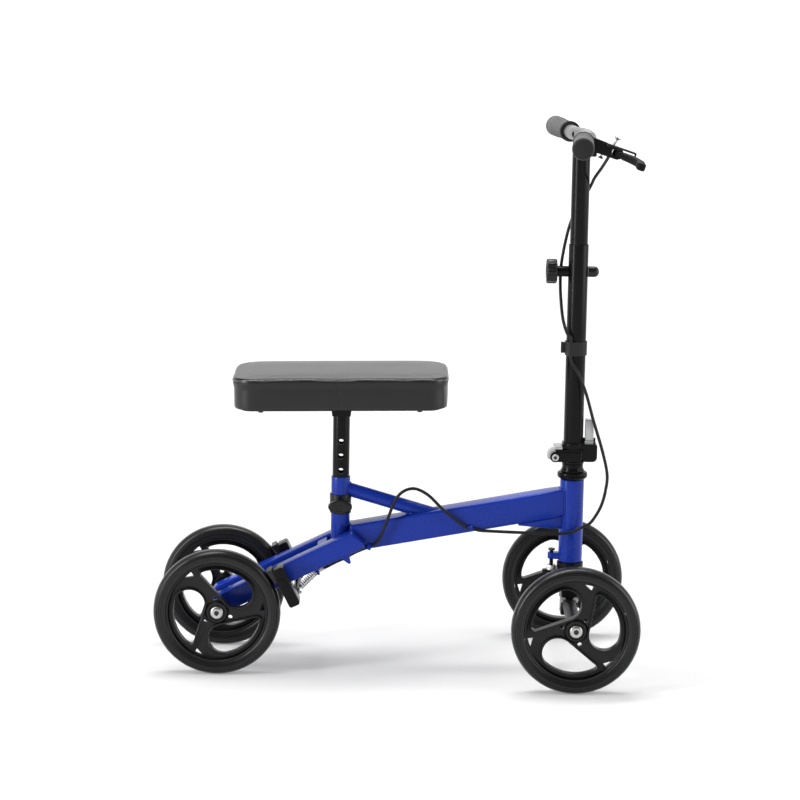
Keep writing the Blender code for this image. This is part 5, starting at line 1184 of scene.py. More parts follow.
def barX(y):
    y = abs(y)
    slope = -math.tan(barSweep)
    if y >= bar["bendEnd"]:
        return bar["gripX"] + slope * (y - bar["gripStart"])
    if y <= bar["bendStart"]:
        return bar["centreX"]
    span = bar["bendEnd"] - bar["bendStart"]
    t = (y - bar["bendStart"]) / span
    end = bar["gripX"] + slope * (bar["bendEnd"] - bar["gripStart"])
    return bar["centreX"] + (end - bar["centreX"]) * t * t * (3 - 2 * t) + slope * span * (t ** 3 - t ** 2)


def makeGrip(hand, side):
    length = (bar["gripEnd"] - bar["gripStart"]) / math.cos(barSweep)
    radius, bore = bar["gripRadius"], bar["radius"] + gap
    heading = Vector((-math.sin(barSweep), side * math.cos(barSweep), 0))
    start = Vector((barX(bar["gripStart"]), side * bar["gripStart"], 0))
    spot = barFrame @ Matrix.Translation(start) @ heading.to_track_quat("Z", "Y").to_matrix().to_4x4()
    body = radius - 0.001
    low, high = bar["flange"] + gap, length - bar["cap"] - gap
    profile = [(bore, low), (body, low)]
    for i in range(bar["ribs"]):
        base = low + 0.002 + i * bar["ribPitch"]
        for step, swell in ((0.0, 0.0), (0.20, 0.75), (0.45, 1.0), (0.70, 0.75), (0.90, 0.0)):
            profile.append((body - bar["ribDepth"] * (1 - swell), base + step * bar["ribPitch"]))
    ribEnd = low + 0.002 + bar["ribs"] * bar["ribPitch"]
    profile += [(radius - 0.0003, ribEnd + 0.0012), (radius - 0.0001, (ribEnd + high) / 2)]
    for i in range(bar["grooves"]):
        base = high - bar["grooveStart"] + i * bar["groovePitch"]
        profile += [(radius, base), (radius - bar["grooveDepth"], base + 0.0014), (radius, base + 0.0028)]
    profile += [(radius, high - 0.0008), (radius - 0.0008, high), (bore, high)]
    node, origin, capStart = f"grip_{hand}", (0, 0, 0), length - bar["cap"]
    foam = turned(f"{node}_foam", profile, origin, steps=72, smooth=50)
    flange = pipe(f"{node}_flange", bore, radius, 0, bar["flange"], origin, edge=0.0012)
    cap = turned(f"{node}_cap", [(0, length), (radius - 0.0035, length), (radius - 0.0018, length - 0.0006),
                                 (radius - 0.0006, length - 0.0022), (radius - 0.0006, capStart), (0, capStart)],
                 origin, edge=0.0002)
    for piece, finish in ((foam, "foam"), (flange, "strap"), (cap, "strap")):
        mount(turn(piece, spot), "handlebar", finish, [node])


def makeHandlebar():
    tip = bar["gripEnd"] - bar["cap"] - 2 * gap
    spots = [-tip + 2 * tip * i / bar["steps"] for i in range(bar["steps"] + 1)]
    points = [barFrame @ Vector((barX(y), y, 0)) for y in spots]
    tube = tubeAlong("handlebar_fine", points, bar["radius"], 40)
    # a drilled hole in the back of the left half, with a dark piece sunk in it as painted shade
    holeY = bar["holeY"]
    back = barFrame.to_3x3() @ Vector((-1, (barX(holeY + 0.001) - barX(holeY - 0.001)) / 0.002, 0)).normalized()
    middle = barFrame @ Vector((barX(holeY), holeY, 0))
    cutOut(tube, rod("hole", middle + back * bar["holeFrom"], middle + back * bar["holeTo"], bar["holeRadius"], 32))
    # the plug is painted shade: a dark piece that darkens the inside of the hole
    start, end, radius = bar["plug"]
    plug = rod("bar_hole_shadow", middle + back * start, middle + back * end, radius, 32)
    mount(plug, "handlebar", "strap")
    mount(tube, "handlebar", "bar", ["handlebar"])
    makeGrip("right", -1)
    makeGrip("left", 1)


makeHandlebar()

# Brake lever, in its clamp's own frame: +X forwards and down, +Y along the bar, +Z up
leverFrame = Matrix(((0.94822, 0.07728, 0.30809, 0.27517), (-0.07350, 0.99701, -0.02388, -0.09213),
                     (-0.30902, 0.0, 0.95106, 0.8455), (0, 0, 0, 1)))
lever = {"clamp": 0.0130, "clampWidth": 0.020, "length": 0.058, "depth": 0.020, "slot": 0.0086, "finger": 0.0115,
         "pivot": 0.056, "pivotRadius": 0.003, "blade": 0.008, "bladeWidth": 0.0130, "endReach": 0.0915,
         "endY": -0.09987, "tabStart": 0.036, "tabLength": 0.046, "tabThick": 0.0028, "tabWidth": 0.010,
         "tabFoot": 0.006, "slotBack": 0.0106, "screwRadius": 0.0019}


def makeLever():
    half = lever["depth"] / 2
    p, r = lever["pivot"], column["barRadius"]
    under = half - lever["tabThick"] - 2 * gap
    start = lever["tabStart"] - gap
    width, back = lever["clampWidth"], p - lever["slotBack"]
    bracket = pipe("lever_bracket_fine", r + gap, lever["clamp"], -width / 2, width / 2, (0, 0, 0), "Y", 0.0005)
    outline = softOutline([(r + 0.001, -half + 0.001, 0), (p, -half + 0.001, 0.004),
                           (lever["length"] + 0.004, -half * 0.55, 0.003), (lever["length"] + 0.004, under, 0.003),
                           (start, under, 0.0006), (start, half, 0.001), (r - 0.001, half + 0.001, 0),
                           (r - 0.001, 0, 0)], 6)
    body = slab("body", outline, width - 0.002, edge=0.0012)
    cutOut(body, rod("bore", (0, -0.02, 0), (0, 0.02, 0), r + 2 * gap, 64))
    weldOn(bracket, body)
    cutOut(bracket, slab("slot", [(back, -0.03), (p + 0.05, -0.03), (p + 0.05, 0.03), (back, 0.03)], lever["slot"],
                         laid="XY"))
    weldOn(bracket, rod("pin", (p, 0, -under + gap), (p, 0, under - gap), lever["pivotRadius"], 32))
    mount(turn(bracket, leverFrame), "handlebar", "lever", ["lever_bracket"])
    reach, wide, endY = lever["endReach"], lever["bladeWidth"], lever["endY"]
    outline = softOutline([(p - 0.0045, -0.0085, 0.003), (p - 0.0102, 0.0, 0.003), (p - 0.0045, 0.0085, 0.004),
                           (p + 0.008, 0.0075, 0.004), (reach - 0.008, -0.016, 0.006), (p + 0.008, -0.016, 0.004)], 10)
    blade = slab("brake_lever_fine", outline, lever["blade"], laid="XY", edge=0.0014, segments=3)
    outline = softOutline([(p + 0.0035, -0.0125, 0.003), (reach - 0.009, -0.0125, 0.006),
                           (reach - 0.004, -0.024, 0.012), (reach + 0.0045, -0.050, 0.03),
                           (reach + 0.0060, endY, 0.0050), (reach + 0.0060 - wide, endY, 0.0050),
                           (reach + 0.0040 - wide, -0.052, 0.03),
                           (p + 0.014, -0.030, 0.012), (p + 0.0055, -0.0215, 0.004)], 10)
    finger = slab("brake_lever_finger", outline, lever["finger"], laid="XY", edge=0.0036, segments=5)
    mount(turn(finger, leverFrame), "brake_lever", "lever", ["brake_lever"])
    cutOut(blade, rod("bore", (p, 0, -0.02), (p, 0, 0.02), lever["pivotRadius"] + gap, 32))
    mount(turn(blade, leverFrame), "brake_lever", "lever", ["brake_lever"])
    start, end = lever["tabStart"], lever["tabStart"] + lever["tabLength"]
    low = half - lever["tabThick"]
    foot = low - lever["tabFoot"]
    outline = softOutline([(start, low, 0.001), (start, half, 0.001), (end, half, 0.002), (end, foot, 0.0008),
                           (end - 0.0022, foot, 0.0008), (end - 0.0026, low, 0)], 6)
    tab = slab("parking_tab_fine", outline, lever["tabWidth"], edge=0.0004)
    mount(turn(tab, leverFrame), "parking_tab", "oxide", ["parking_tab"])
    # adjuster above, clamp screw below: foot, top and the head's radius
    screws = [("lever_adjuster", (0.0440, 0.0070, under - 0.002), (0.0475, 0.0070, half + 0.0125), 0.0060),
              ("clamp_screw", (0.0330, 0.0030, -half + 0.003), (0.0322, 0.0030, -half - 0.0062), 0.0042)]
    for name, foot, top, head in screws:
        foot, top, radius = Vector(foot), Vector(top), lever["screwRadius"]
        screw = rod(name, foot, top, radius, 20)
        along = (top - foot).normalized()
        cap = turned("head", [(0, -0.0042), (radius, -0.0042), (head, -0.0012), (head, 0), (0, 0)], (0, 0, 0),
                     edge=0.0003, steps=32)
        turn(cap, Matrix.Translation(top) @ along.to_track_quat("Z", "Y").to_matrix().to_4x4())
        cutOut(cap, slab("slit", [(-0.01, -0.0004), (0.01, -0.0004), (0.01, 0.0004), (-0.01, 0.0004)], 0.003,
                         tuple(top), "XY"))
        weldOn(screw, cap)
        mount(turn(screw, leverFrame), "handlebar", "zinc")


makeLever()
print("bar and lever done")

# Seat post with its row of holes, clamp collar and knob
seat = {"postRadius": 0.0133, "postBore": 0.0117, "postLow": 0.212, "postHigh": 0.4127, "holeRadius": 0.0045,
        "holeTop": 0.3595, "holePitch": 0.0234, "holes": 5, "collarRadius": 0.0172, "collarLow": 0.243,
        "collarHigh": 0.274, "collarBore": 0.0153, "splitHalf": 0.0011, "knobRadius": 0.0125, "knobSpan": 0.038,
        "knobEar": 0.0065, "knobThick": 0.013, "knobStem": 0.006, "stemRadius": 0.0085, "dish": 0.0072, "cap": 0.0040}


def makeSeatPost():
    post = pipe("seat_post_fine", seat["postBore"], seat["postRadius"], seat["postLow"], seat["postHigh"],
                (seatX, 0, 0), edge=0.0004, steps=72)
    for i in range(seat["holes"]):
        z = seat["holeTop"] - i * seat["holePitch"]
        cutOut(post, rod("hole", (seatX, -0.02, z), (seatX, 0.02, z), seat["holeRadius"], 32))
    mount(post, "seat", "black", ["seat_post"])
    low, high, r = seat["collarLow"], seat["collarHigh"], seat["collarRadius"]
    middle, half = (low + high) / 2, seat["splitHalf"]
    collar = pipe("seat_clamp_collar_fine", seat["collarBore"], r, low, high, (seatX, 0, 0), edge=0.0012)
    cutOut(collar, slab("split", [(seatX - half, -0.03), (seatX + half, -0.03), (seatX + half, -0.01),
                                  (seatX - half, -0.01)], 0.05, (0, 0, middle), "XY"))
    mount(collar, "frame", "plastic", ["seat_clamp_collar"])
    ear = seat["knobEar"]
    reach = seat["knobSpan"] / 2 - ear
    start = r + gap
    y = -(start + seat["knobStem"] + seat["knobThick"] / 2)
    near = belt((-reach, 0), ear, (0, 0), seat["knobRadius"])
    far = belt((0, 0), seat["knobRadius"], (reach, 0), ear)
    knob = slab("seat_knob_fine", near, seat["knobThick"], (seatX, y, middle), edge=0.0026, segments=4)
    weldOn(knob, slab("ear", far, seat["knobThick"] - 0.0002, (seatX, y, middle), edge=0.0026, segments=4))
    face = y - seat["knobThick"] / 2
    cutOut(knob, rod("dish", (seatX, face - 0.002, middle), (seatX, face + 0.0010, middle), seat["dish"], 48, 0.0003))
    weldOn(knob, rod("cap", (seatX, face + 0.002, middle), (seatX, face + 0.0004, middle), seat["cap"], 32, 0.0003),
           rod("stem", (seatX, -start, middle), (seatX, -start - seat["knobStem"] - 0.004, middle),
               seat["stemRadius"], 40))
    mount(knob, "seat_knob", "plastic", ["seat_knob"])


makeSeatPost()

# Rear brake: yoke, spring round the inner wire, and the wire's anchor
brake = {"back": 0.1075, "depth": 0.0180, "up": 0.0235, "down": 0.0425, "inner": 0.070, "width": 0.031,
         "corner": 0.004, "barRadius": 0.0055, "barAhead": 0.009, "barDrop": 0.0395, "shaftBore": 0.0043,
         "stop": 0.160, "stopHalf": 0.0015, "wireY": -0.006, "wireDrop": 0.0262, "springRadius": 0.0047,
         "springWire": 0.0011, "coils": 11, "coilSteps": 20, "innerWire": 0.0008,
         "anchor": 0.0024, "anchorHalf": 0.0065, "anchorHead": 0.0040, "anchorNut": 0.0036}


def makeBrake():
    back, front = brake["back"], brake["back"] + brake["depth"]
    spots = ((back, -brake["down"]), (front, -brake["down"]), (front, brake["up"]), (back, brake["up"]))
    outline = softOutline([(*railPoint(*spot), brake["corner"]) for spot in spots], 6)
    y = brake["inner"] + brake["width"] / 2
    yoke = slab("brake_yoke_fine", outline, brake["width"], (0, -y, 0), edge=0.0012)
    along = back + brake["barAhead"]
    weldOn(yoke, slab("arm", outline, brake["width"], (0, y, 0), edge=0.0012),
           rod("bar", railSpot(along, -y, -brake["barDrop"]), railSpot(along, y, -brake["barDrop"]),
               brake["barRadius"], 40))
    pivot = chassis["pivotAlong"]
    cutOut(yoke, rod("bore", railSpot(pivot, -0.2), railSpot(pivot, 0.2), brake["shaftBore"], 40))
    mount(yoke, "brake_yoke", "black", ["brake_yoke"])
    wireY, r = brake["wireY"], brake["springRadius"]
    top = railSpot(brake["stop"] - brake["stopHalf"] - brake["springWire"] - gap, wireY, -brake["wireDrop"])
    bottom = railSpot(along + brake["barRadius"] + brake["springWire"] + 2 * gap + 0.0007, wireY,
                      -brake["barDrop"] + 0.002)
    axis = (bottom - top).normalized()
    side = Vector((0, 1, 0))
    up = axis.cross(side)
    points = []
    perTurn = brake["coilSteps"]
    count = brake["coils"] * perTurn
    for i in range(count + 1):
        t = i / count
        share = 0.012 + 0.976 * max(0.0, min(1.0, (t * 1.16 - 0.08)))
        a = 2 * math.pi * i / perTurn
        points.append(top.lerp(bottom, share) + r * (side * math.cos(a) + up * math.sin(a)))
    spring = tubeAlong("brake_spring_fine", points, brake["springWire"], 10)
    wire = rod("brake_inner_wire", top, bottom, brake["innerWire"], 12)
    for piece in (spring, wire):
        settle(piece)
        giveFinish(piece, "zinc")
        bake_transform(piece)
    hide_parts("brake_spring")
    spot = railSpot(along, wireY, -brake["barDrop"])
    half = brake["anchorHalf"]
    anchor = rod("wire_anchor", spot - up * half, spot + up * half, brake["anchor"], 24, 0.0003)
    weldOn(anchor, hexagon("head", spot - up * (half - 0.0005), spot - up * (half + 0.0020), brake["anchorHead"]),
           hexagon("nut", spot + up * (half - 0.0005), spot + up * (half + 0.0025), brake["anchorNut"]))
    mount(anchor, "brake_yoke", "zinc")


makeBrake()
print("seat post and brake done")

# Brake cable: the housing from the lever to the strap, then down, round the head tube and along the frame
cable = {"radius": 0.0025, "ferrule": 0.0033, "ferruleLength": 0.009, "perSpan": 8}
upperRoute = [
    (0.3166, -0.0820, 0.8272), (0.3140, -0.070, 0.8185), (0.3075, -0.045, 0.8020), (0.2998, -0.014, 0.7840),
    (0.2967, 0.004, 0.7725), (0.2915, 0.0135, 0.760), (0.2790, 0.0195, 0.738), (0.2665, 0.0195, 0.710),
    (0.2580, 0.0165, 0.675), (0.2528, 0.0130, 0.640), (0.2522, 0.0085, 0.612), (0.2534, 0.000, 0.588),
    (0.2566, -0.0085, 0.561), (0.2630, -0.0145, 0.540), (0.2690, -0.0163, 0.534), (0.2700, -0.0163, 0.5270),
    (0.2700, -0.0163, 0.514),
]
lowerRoute = [
    (0.2700, -0.0163, 0.5134), (0.2700, -0.0163, 0.5000), (0.2740, -0.0180, 0.490), (0.2830, -0.0205, 0.475),
    (0.2955, -0.0205, 0.4447), (0.3076, -0.0205, 0.404), (0.3232, -0.022, 0.355), (0.332, -0.024, 0.318),
    (0.331, -0.025, 0.294), (0.324, -0.026, 0.265), (0.309, -0.0265, 0.239), (0.2956, -0.0255, 0.2303),
    (0.279, -0.0235, 0.2218), (0.2572, -0.0245, 0.2186), (0.230, -0.0262, 0.2195), (0.1936, -0.0262, 0.2202),
    (0.138, -0.0240, 0.2216), (0.128, -0.0239, 0.2230), (0.119, -0.0239, 0.2249), (0.110, -0.0241, 0.2273),
    (0.085, -0.027, 0.247), (0.0725, -0.028, 0.2573), (0.0498, -0.030, 0.2796), (0.029, -0.031, 0.2895),
    (0.0117, -0.031, 0.2855), (0.0004, -0.030, 0.274), (-0.0068, -0.029, 0.2577), (-0.0136, -0.028, 0.2386),
    (-0.0250, -0.0255, 0.2080), (-0.0330, -0.0243, 0.1965), (-0.0422, -0.0244, 0.1925),
]
# from the last clip to the stop: the way up the rail past the stop, the place across, and the height over the rail
stopRoute = [(0.0829, -0.0256, -0.0208), (0.0698, -0.029, -0.0196), (0.0519, -0.031, -0.0203),
             (0.0364, -0.0260, -0.0212), (0.0170, -0.006, -0.0262), (0.0018, -0.006, -0.0262)]
columnStart, columnEnd, headEnd = 3, 6, 13  # points of the lower route: column, then fork, then frame


def makeCable():
    perSpan = cable["perSpan"]
    route = [Vector(p) for p in lowerRoute] + [railSpot(brake["stop"] + a, y, up) for a, y, up in stopRoute]
    fine = smoothRoute(route, perSpan)
    upper = smoothRoute(upperRoute, perSpan)
    spans = [("brake_cable_upper_housing", upper, "brake_cable_upper"),
             ("brake_cable_column_housing", fine[:columnEnd * perSpan + 1], "brake_cable_lower"),
             ("brake_cable_head_housing", fine[columnEnd * perSpan:headEnd * perSpan + 1], "brake_cable_lower"),
             ("brake_cable_frame_housing", fine[headEnd * perSpan:], "brake_cable_lower")]
    pieces = []
    for name, points, node in spans:
        piece = tubeAlong(name, points, cable["radius"], 16)
        giveFinish(piece, "housing")
        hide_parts(node)
        pieces.append(piece)
    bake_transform(pieces[0])
    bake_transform(pieces[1])
    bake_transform(pieces[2])
    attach(pieces[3], "frame")
    first = (upper[6] - upper[0]).normalized()
    ferrule = rod("lever_ferrule", upper[0] - first * 0.0015, upper[0] + first * cable["ferruleLength"],
                  cable["ferrule"], 32, 0.0006)
    mount(ferrule, "handlebar", "oxide")
    last = (fine[-1] - fine[-8]).normalized()
    ferrule = rod("stop_ferrule", fine[-1] - last * cable["ferruleLength"], fine[-1] + last * 0.0001,
                  cable["ferrule"], 32, 0.0006)
    mount(ferrule, "frame", "zinc")


makeCable()
print("cable done")

# Knee rest: a board, and a padded box that is blown up a little, then given its welt, stitches and side seams
cushion = {
    "low": (-0.2570, -0.0875, 0.4232), "high": (0.0785, 0.0875, 0.4730), "corner": 0.036, "inset": 0.0014,
    "topRound": 0.0052, "voxel": 0.0042, "pressure": 2.4, "frames": 20, "reach": 0.0030, "crown": 0.0026,
    "roll": 0.0050, "rollBlend": 0.008, "sideBlend": 0.010, "endFall": 0.0040, "seamDip": 0.0010, "dipWidth": 0.024,
    "wrinkle": 0.0004, "seamDrop": 0.0022, "seamPull": 0.0006, "seamWidth": 0.0035, "weltRadius": 0.0012,
    "weltPitch": 0.004, "wave": 0.0004, "stitchLength": 0.0030, "stitchPitch": 0.0043, "stitchRadius": 0.00028,
    "stitchDrop": 0.0034, "tilt": 1.1, "sideSeamX": -0.0905, "sideSeamRadius": 0.0005, "sideSeamPull": 0.009,
    "sideSeamWidth": 0.0021,
}
board = {"low": (-0.2450, -0.0755, 0.4202), "high": (0.0664, 0.0755, 0.4254), "corner": 0.018, "edge": 0.0016,
         "bolts": ((-0.2140, 0.058), (0.0340, 0.058)), "boltRadius": 0.0045}


# The rest stands a little higher at its front, turned about its post's top
def tiltRest(obj):
    hub = Vector((seatX, 0, board["low"][2]))
    lean = Matrix.Rotation(-math.radians(cushion["tilt"]), 4, "Y")
    return turn(obj, Matrix.Translation(hub) @ lean @ Matrix.Translation(-hub))


def makeBoard():
    (x0, y0, low), (x1, y1, high) = board["low"], board["high"]
    outline = softBox(x0, y0, x1, y1, board["corner"], 8)
    base = slab("seat_board_fine", outline, high - low, (0, 0, (low + high) / 2), "XY", board["edge"], 3)
    mount(tiltRest(base), "seat", "black", ["seat_board"])


def makeBoardBolts():
    down = Vector((0, 0, -1))
    for i, (x, reachY) in enumerate(board["bolts"]):
        for side in (-1, 1):
            spot = Vector((x, side * reachY, board["low"][2]))
            bolt = rod(f"board_bolt_{i + 1}_{'left' if side > 0 else 'right'}", spot, spot + down * 0.0012,
                       board["boltRadius"] * 1.3, 32, 0.0003)
            weldOn(bolt, hexagon("head", spot + down * 0.0010, spot + down * 0.0044, board["boltRadius"]))
            mount(tiltRest(bolt), "seat", "oxide")


def cushionOutline(settings, inset=0.0):
    (x0, y0, _), (x1, y1, _) = settings["low"], settings["high"]
    return softBox(x0 + inset, y0 + inset, x1 - inset, y1 - inset, settings["corner"] - inset, 8)


def blowUp(obj, settings):
    # the cloth swells from its start shape, and no point may go further than the reach
    start = [vertex.co.copy() for vertex in obj.data.vertices]
    floorZ = settings["low"][2]
    held = obj.vertex_groups.new(name="held")
    seamZ = settings["high"][2] - settings["seamDrop"]
    held.add([v.index for v in obj.data.vertices if v.co.z < floorZ + 0.004
              or (abs(v.co.z - seamZ) < settings["voxel"] * 0.6 and v.normal.z < 0.5)], 1.0, "REPLACE")
    cloth = obj.modifiers.new("filling", "CLOTH")
    cloth.settings.use_pressure = True
    cloth.settings.uniform_pressure_force = settings["pressure"]
    cloth.settings.vertex_group_mass = held.name
    cloth.settings.effector_weights.gravity = 0
    for i in range(1, settings["frames"] + 1):
        bpy.context.scene.frame_set(i)
    applyAll(obj)
    bpy.context.scene.frame_set(1)
    for vertex, first in zip(obj.data.vertices, start):
        move = vertex.co - first
        if move.length > settings["reach"]:
            vertex.co = first + move.normalized() * settings["reach"]
    obj.vertex_groups.clear()


def endDrop(settings, x, y):
    # the pad is a little lower at its two ends, and its near rim dips at the side seam
    (x0, y0, _), x1 = settings["low"], settings["high"][0]
    near = math.exp(-((x - settings["sideSeamX"]) / settings["dipWidth"]) ** 2)
    dip = settings["seamDip"] * near * max(0.0, y / y0) ** 4
    return dip + settings["endFall"] * min(1.0, abs(2 * x - x0 - x1) / (x1 - x0)) ** 9


def topHeight(settings, x, y):
    # nearly flat, and lower towards the rim
    _, y1, top = settings["high"]
    return top - endDrop(settings, x, y) + settings["crown"] * (1 - min(1.0, abs(y) / y1) ** 4)


def rollRim(settings, co, simTop=None):
    # the top panel keeps a little of the swollen cloth, and its rim rolls tightly over into the side
    (x0, y0, _), (x1, y1, top) = settings["low"], settings["high"]
    top -= endDrop(settings, co.x, co.y)
    r, roll, wrinkle = settings["corner"], settings["roll"], settings["wrinkle"]
    core = Vector((min(max(co.x, x0 + r), x1 - r), min(max(co.y, y0 + r), y1 - r), co.z))
    out = co - core
    inside = r - out.length
    rise = co.z - (top - roll)
    if rise > 0 and inside >= roll:
        height = topHeight(settings, co.x, co.y)
        if simTop is None:
            co.z += (height - co.z) * max(0.0, 1 - (inside - roll) / settings["rollBlend"])
        else:
            co.z = height + max(-wrinkle, min(wrinkle, (co.z - simTop) * 0.2))
    elif rise > 0:
        out.normalize()
        edge = core + out * (r - roll)
        scale = roll / math.hypot(roll - inside, rise)
        side = edge + out * (roll - inside) * scale
        co.x, co.y = side.x, side.y
        co.z = topHeight(settings, edge.x, edge.y) - roll + rise * scale
    elif out.length > 0.001 and rise > -settings["sideBlend"]:
        side = core + out.normalized() * (r + inside * rise / settings["sideBlend"])
        co.x, co.y = side.x, side.y


def surfaceSpot(tree, settings, x, y, z):
    # the point of the cushion's side that faces a point of its outline, and the way out from it
    (x0, y0, _), (x1, y1, _) = settings["low"], settings["high"]
    r = settings["corner"]
    core = Vector((min(max(x, x0 + r), x1 - r), min(max(y, y0 + r), y1 - r), 0))
    out = (Vector((x, y, 0)) - core).normalized()
    origin = Vector((x, y, z)) + out * 0.03
    hit = tree.ray_cast(origin, -out, 0.08)[0]
    return (hit or Vector((x, y, z))), out


def scatter(name, source, spots):
    mesh = bmesh.new()
    for spot in spots:
        count = len(mesh.verts)
        mesh.from_mesh(source.data)
        mesh.verts.ensure_lookup_table()
        bmesh.ops.transform(mesh, matrix=spot, verts=mesh.verts[count:])
    data = bpy.data.meshes.new(name)
    mesh.to_mesh(data)
    mesh.free()
    obj = bpy.data.objects.new(name, data)
    bpy.context.scene.collection.objects.link(obj)
    bpy.data.objects.remove(source, do_unlink=True)
    return obj


def makeCushion(settings):
    inset = settings["inset"]
    low, high = settings["low"][2], settings["high"][2] - inset
    under = low - settings["topRound"]
    pad = slab("seat_cushion", cushionOutline(settings, inset), high - under, (0, 0, (under + high) / 2), "XY",
               settings["topRound"], 4)
    remesh = pad.modifiers.new("remesh", "REMESH")
    remesh.mode = "VOXEL"
    remesh.voxel_size = settings["voxel"]
    applyAll(pad)
    blowUp(pad, settings)
    (x0, y0, bottom), (x1, y1, top) = settings["low"], settings["high"]
    seamZ, middleX = top - settings["seamDrop"], (x0 + x1) / 2
    level = [v.co.z for v in pad.data.vertices if v.normal.z > 0.95 and abs(v.co.y) < y1 * 0.6]
    simTop = sum(level) / len(level)
    for vertex in pad.data.vertices:
        co = vertex.co
        co.x = min(max(co.x, x0), x1)
        co.y = min(max(co.y, y0), y1)
        rollRim(settings, co, simTop)
        # a groove along the welt and a flat base on the board
        drop = endDrop(settings, co.x, co.y)
        if co.z < top - drop - settings["roll"]:
            co -= Vector((co.x - middleX, co.y, 0)).normalized() * (
                settings["seamPull"] * math.exp(-((co.z - seamZ + drop) / settings["seamWidth"]) ** 2))
        if co.z < bottom + 0.0015:
            co.z = bottom
    subdivide = pad.modifiers.new("smooth", "SUBSURF")
    subdivide.levels = subdivide.render_levels = 1
    applyAll(pad)
    for vertex in pad.data.vertices:
        rollRim(settings, vertex.co)
        if abs(vertex.co.y) > y1 * 0.9 and vertex.co.z < seamZ:
            near = math.exp(-((vertex.co.x - settings["sideSeamX"]) / settings["sideSeamWidth"]) ** 2)
            vertex.co.y *= 1 - settings["sideSeamPull"] * near
    shadeSmooth(pad, 80)
    tree = BVHTree.FromPolygons([v.co for v in pad.data.vertices], [tuple(p.vertices) for p in pad.data.polygons])
    edge = [(*p, 0) for p in cushionOutline(settings)]
    welt = []
    for i, point in enumerate(evenly(edge, settings["weltPitch"], True)):
        length = i * settings["weltPitch"]
        z = seamZ - endDrop(settings, point.x, point.y) + settings["wave"] * (
            math.sin(length * 61) + 0.6 * math.sin(length * 143 + 1.0))
        spot, out = surfaceSpot(tree, settings, point.x, point.y, z)
        welt.append(spot + out * settings["weltRadius"] * 0.1)
    piping = tubeAlong("cushion_welt", welt, settings["weltRadius"], 12, True)
    stitch = rod("stitch", (-settings["stitchLength"] / 2, 0, 0), (settings["stitchLength"] / 2, 0, 0),
                 settings["stitchRadius"], 6)
    spots = []
    for point in evenly(edge, settings["stitchPitch"], True):
        spot, out = surfaceSpot(tree, settings, point.x, point.y,
                                seamZ - settings["stitchDrop"] - endDrop(settings, point.x, point.y))
        along = Vector((-out.y, out.x, 0))
        up = Vector((0, 0, 1))
        turnMatrix = Matrix((along, up, along.cross(up))).transposed().to_4x4()
        spots.append(Matrix.Translation(spot + out * 0.0001) @ turnMatrix)
    stitches = scatter("cushion_stitches", stitch, spots)
    seams = []
    for x, y in ((settings["sideSeamX"], y0), (settings["sideSeamX"], y1), (x0, 0.0), (x1, 0.0)):
        path = []
        for i in range(15):
            high = seamZ - endDrop(settings, x, y)
            z = high + (bottom + 0.003 - high) * i / 14
            spot, out = surfaceSpot(tree, settings, x, y, z)
            path.append(spot + out * 0.0001)
        seams.append(tubeAlong("seam", path, settings["sideSeamRadius"], 8))
    sideSeams = joinAll("cushion_side_seams", seams)
    for piece in (pad, piping, sideSeams, stitches):
        tiltRest(piece)
    mount(pad, "seat", "leather", ["seat_pad"])
    mount(piping, "seat", "piping")
    mount(sideSeams, "seat", "leather")
    mount(stitches, "seat", "thread")


makeBoard()
makeBoardBolts()
makeCushion(cushion)
print("cushion done")


# Camera at the photograph's angle: angles in degrees, target and distance in metres, lens in millimetres
camera = {"target": (0.0032, 0, 0.4259), "distance": 4.1107, "azimuth": 0.2884, "pitch": 10.2493, "roll": 0.9505,
          "lens": 117.0}


def placeCamera(settings):
    azimuth, pitch, roll = (math.radians(settings[key]) for key in ("azimuth", "pitch", "roll"))
    ahead = Vector((math.sin(azimuth) * math.cos(pitch), math.cos(azimuth) * math.cos(pitch), -math.sin(pitch)))
    right = Vector((math.cos(azimuth), -math.sin(azimuth), 0))
    up = right.cross(ahead)
    cameraX = math.cos(roll) * right + math.sin(roll) * up
    cameraY = -math.sin(roll) * right + math.cos(roll) * up
    turnMatrix = Matrix((cameraX, cameraY, -ahead)).transposed()
    bpy.ops.object.camera_add(location=Vector(settings["target"]) - ahead * settings["distance"],
                              rotation=turnMatrix.to_euler())
    new = bpy.context.object
    new.data.lens = settings["lens"]
    new.data.clip_end = 200
    bpy.context.scene.camera = new


placeCamera(camera)
bpy.context.scene.view_settings.view_transform = "Standard"

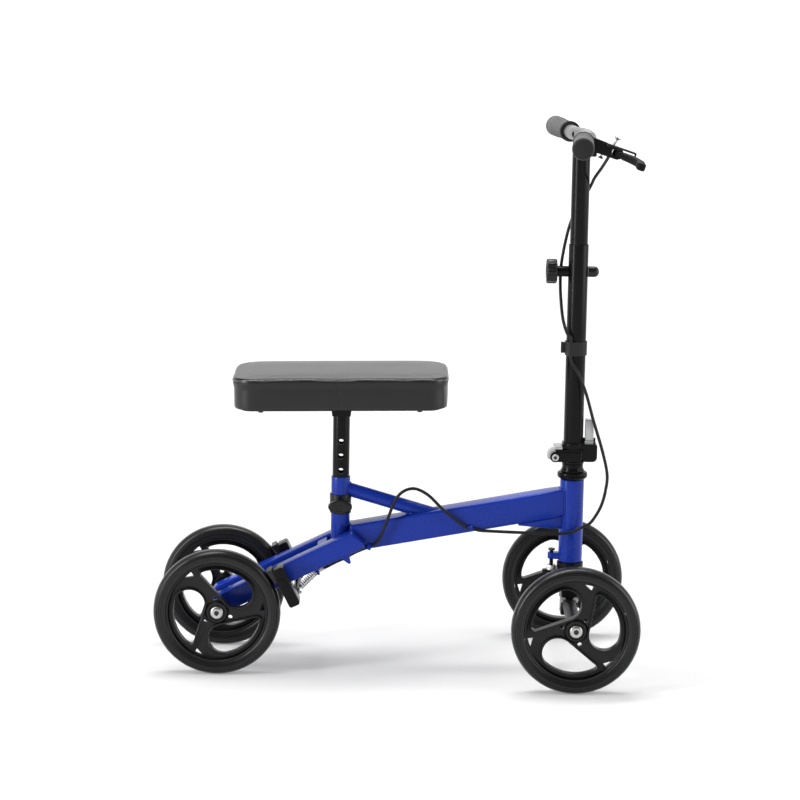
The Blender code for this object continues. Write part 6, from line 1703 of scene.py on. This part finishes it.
# Pale floor, white surroundings and soft lights
stage = {
    "floorSize": 160, "floorColour": (0.56, 0.56, 0.56), "nearGlow": 0.22, "farGlow": 0.95, "glowFrom": 0.4,
    "glowTo": 5.5, "glowScale": 10, "sky": 0.50, "front": 0.15, "frontFrom": (0.15, 0.75), "frontUp": (0.02, 0.20),
    "horizon": 1.35, "horizonUp": (0.12, 0.36),
    "lights": (
        {"name": "backLight", "size": (2.6, 0.7), "power": 8, "place": (-0.1, 3.4, 1.8), "aim": (0, 0, 0.4)},
        {"name": "topLight", "size": (2.4, 0.5), "power": 70, "place": (-0.1, 0.35, 2.9), "aim": (0, 0, 0.4)},
        {"name": "leftTop", "size": (1.0, 1.0), "power": 18, "place": (-1.2, -0.7, 3.0), "aim": (0, 0, 0.3)},
        {"name": "leftStrip", "size": (0.5, 2.6), "power": 95, "place": (-3.0, -1.6, 1.5), "aim": (0, 0, 0.45)},
        {"name": "rightPanel", "size": (2.0, 2.2), "power": 52, "place": (3.2, -0.7, 1.4), "aim": (0, 0, 0.45)},
    ),
}


def makeStage(settings):
    deselectAll()
    bpy.ops.mesh.primitive_plane_add(size=settings["floorSize"])
    floor = bpy.context.object
    floor.name = "floor"
    # far from the lights the floor glows by itself, so it stays white up to the top of the view
    paint = Finish("floorPaint", Specular_IOR_Level=0.0, Emission_Strength=1.0)
    paint.set("Base Color", settings["floorColour"])
    scale = settings["glowScale"]
    away = paint.node("ShaderNodeVectorMath", {"operation": "LENGTH"}, {0: paint.place}, "Value") / scale
    share = paint.ramp(away, settings["glowFrom"] / scale, settings["glowTo"] / scale)
    near, far = settings["nearGlow"], settings["farGlow"]
    paint.set("Emission Color", paint.mix(share, (near, near, near), (far, far, far)))
    paint.set("Roughness", 0.9)
    floor.data.materials.append(paint.material)
    # the sky is brightest near the horizon, and dimmer above it in front of the object
    world = bpy.data.worlds.new("studio")
    world.use_nodes = True
    bpy.context.scene.world = world
    sky = Pattern(world.node_tree, "Generated")
    background = sky.tree.nodes["Background"]
    height, ahead = sky.axis("Z"), sky.axis("Y")
    before = sky.ramp(ahead * -1.0, *settings["frontFrom"]) * sky.ramp(height, *settings["frontUp"])
    low = sky.ramp(height, *settings["horizonUp"]) * -settings["horizon"] + (1 + settings["horizon"])
    sky.plug(background.inputs["Strength"], (1 - before * (1 - settings["front"])) * low * settings["sky"])
    background.inputs["Color"].default_value = (1, 1, 1, 1)
    for light in settings["lights"]:
        aim = Vector(light["aim"]) - Vector(light["place"])
        bpy.ops.object.light_add(type="AREA", radius=1, location=light["place"],
                                 rotation=aim.to_track_quat("-Z", "Y").to_euler())
        lamp = bpy.context.object
        lamp.name = light["name"]
        lamp.data.shape = "RECTANGLE"
        lamp.data.size, lamp.data.size_y = light["size"]
        lamp.data.energy = light["power"]


makeStage(stage)
print("stage done")
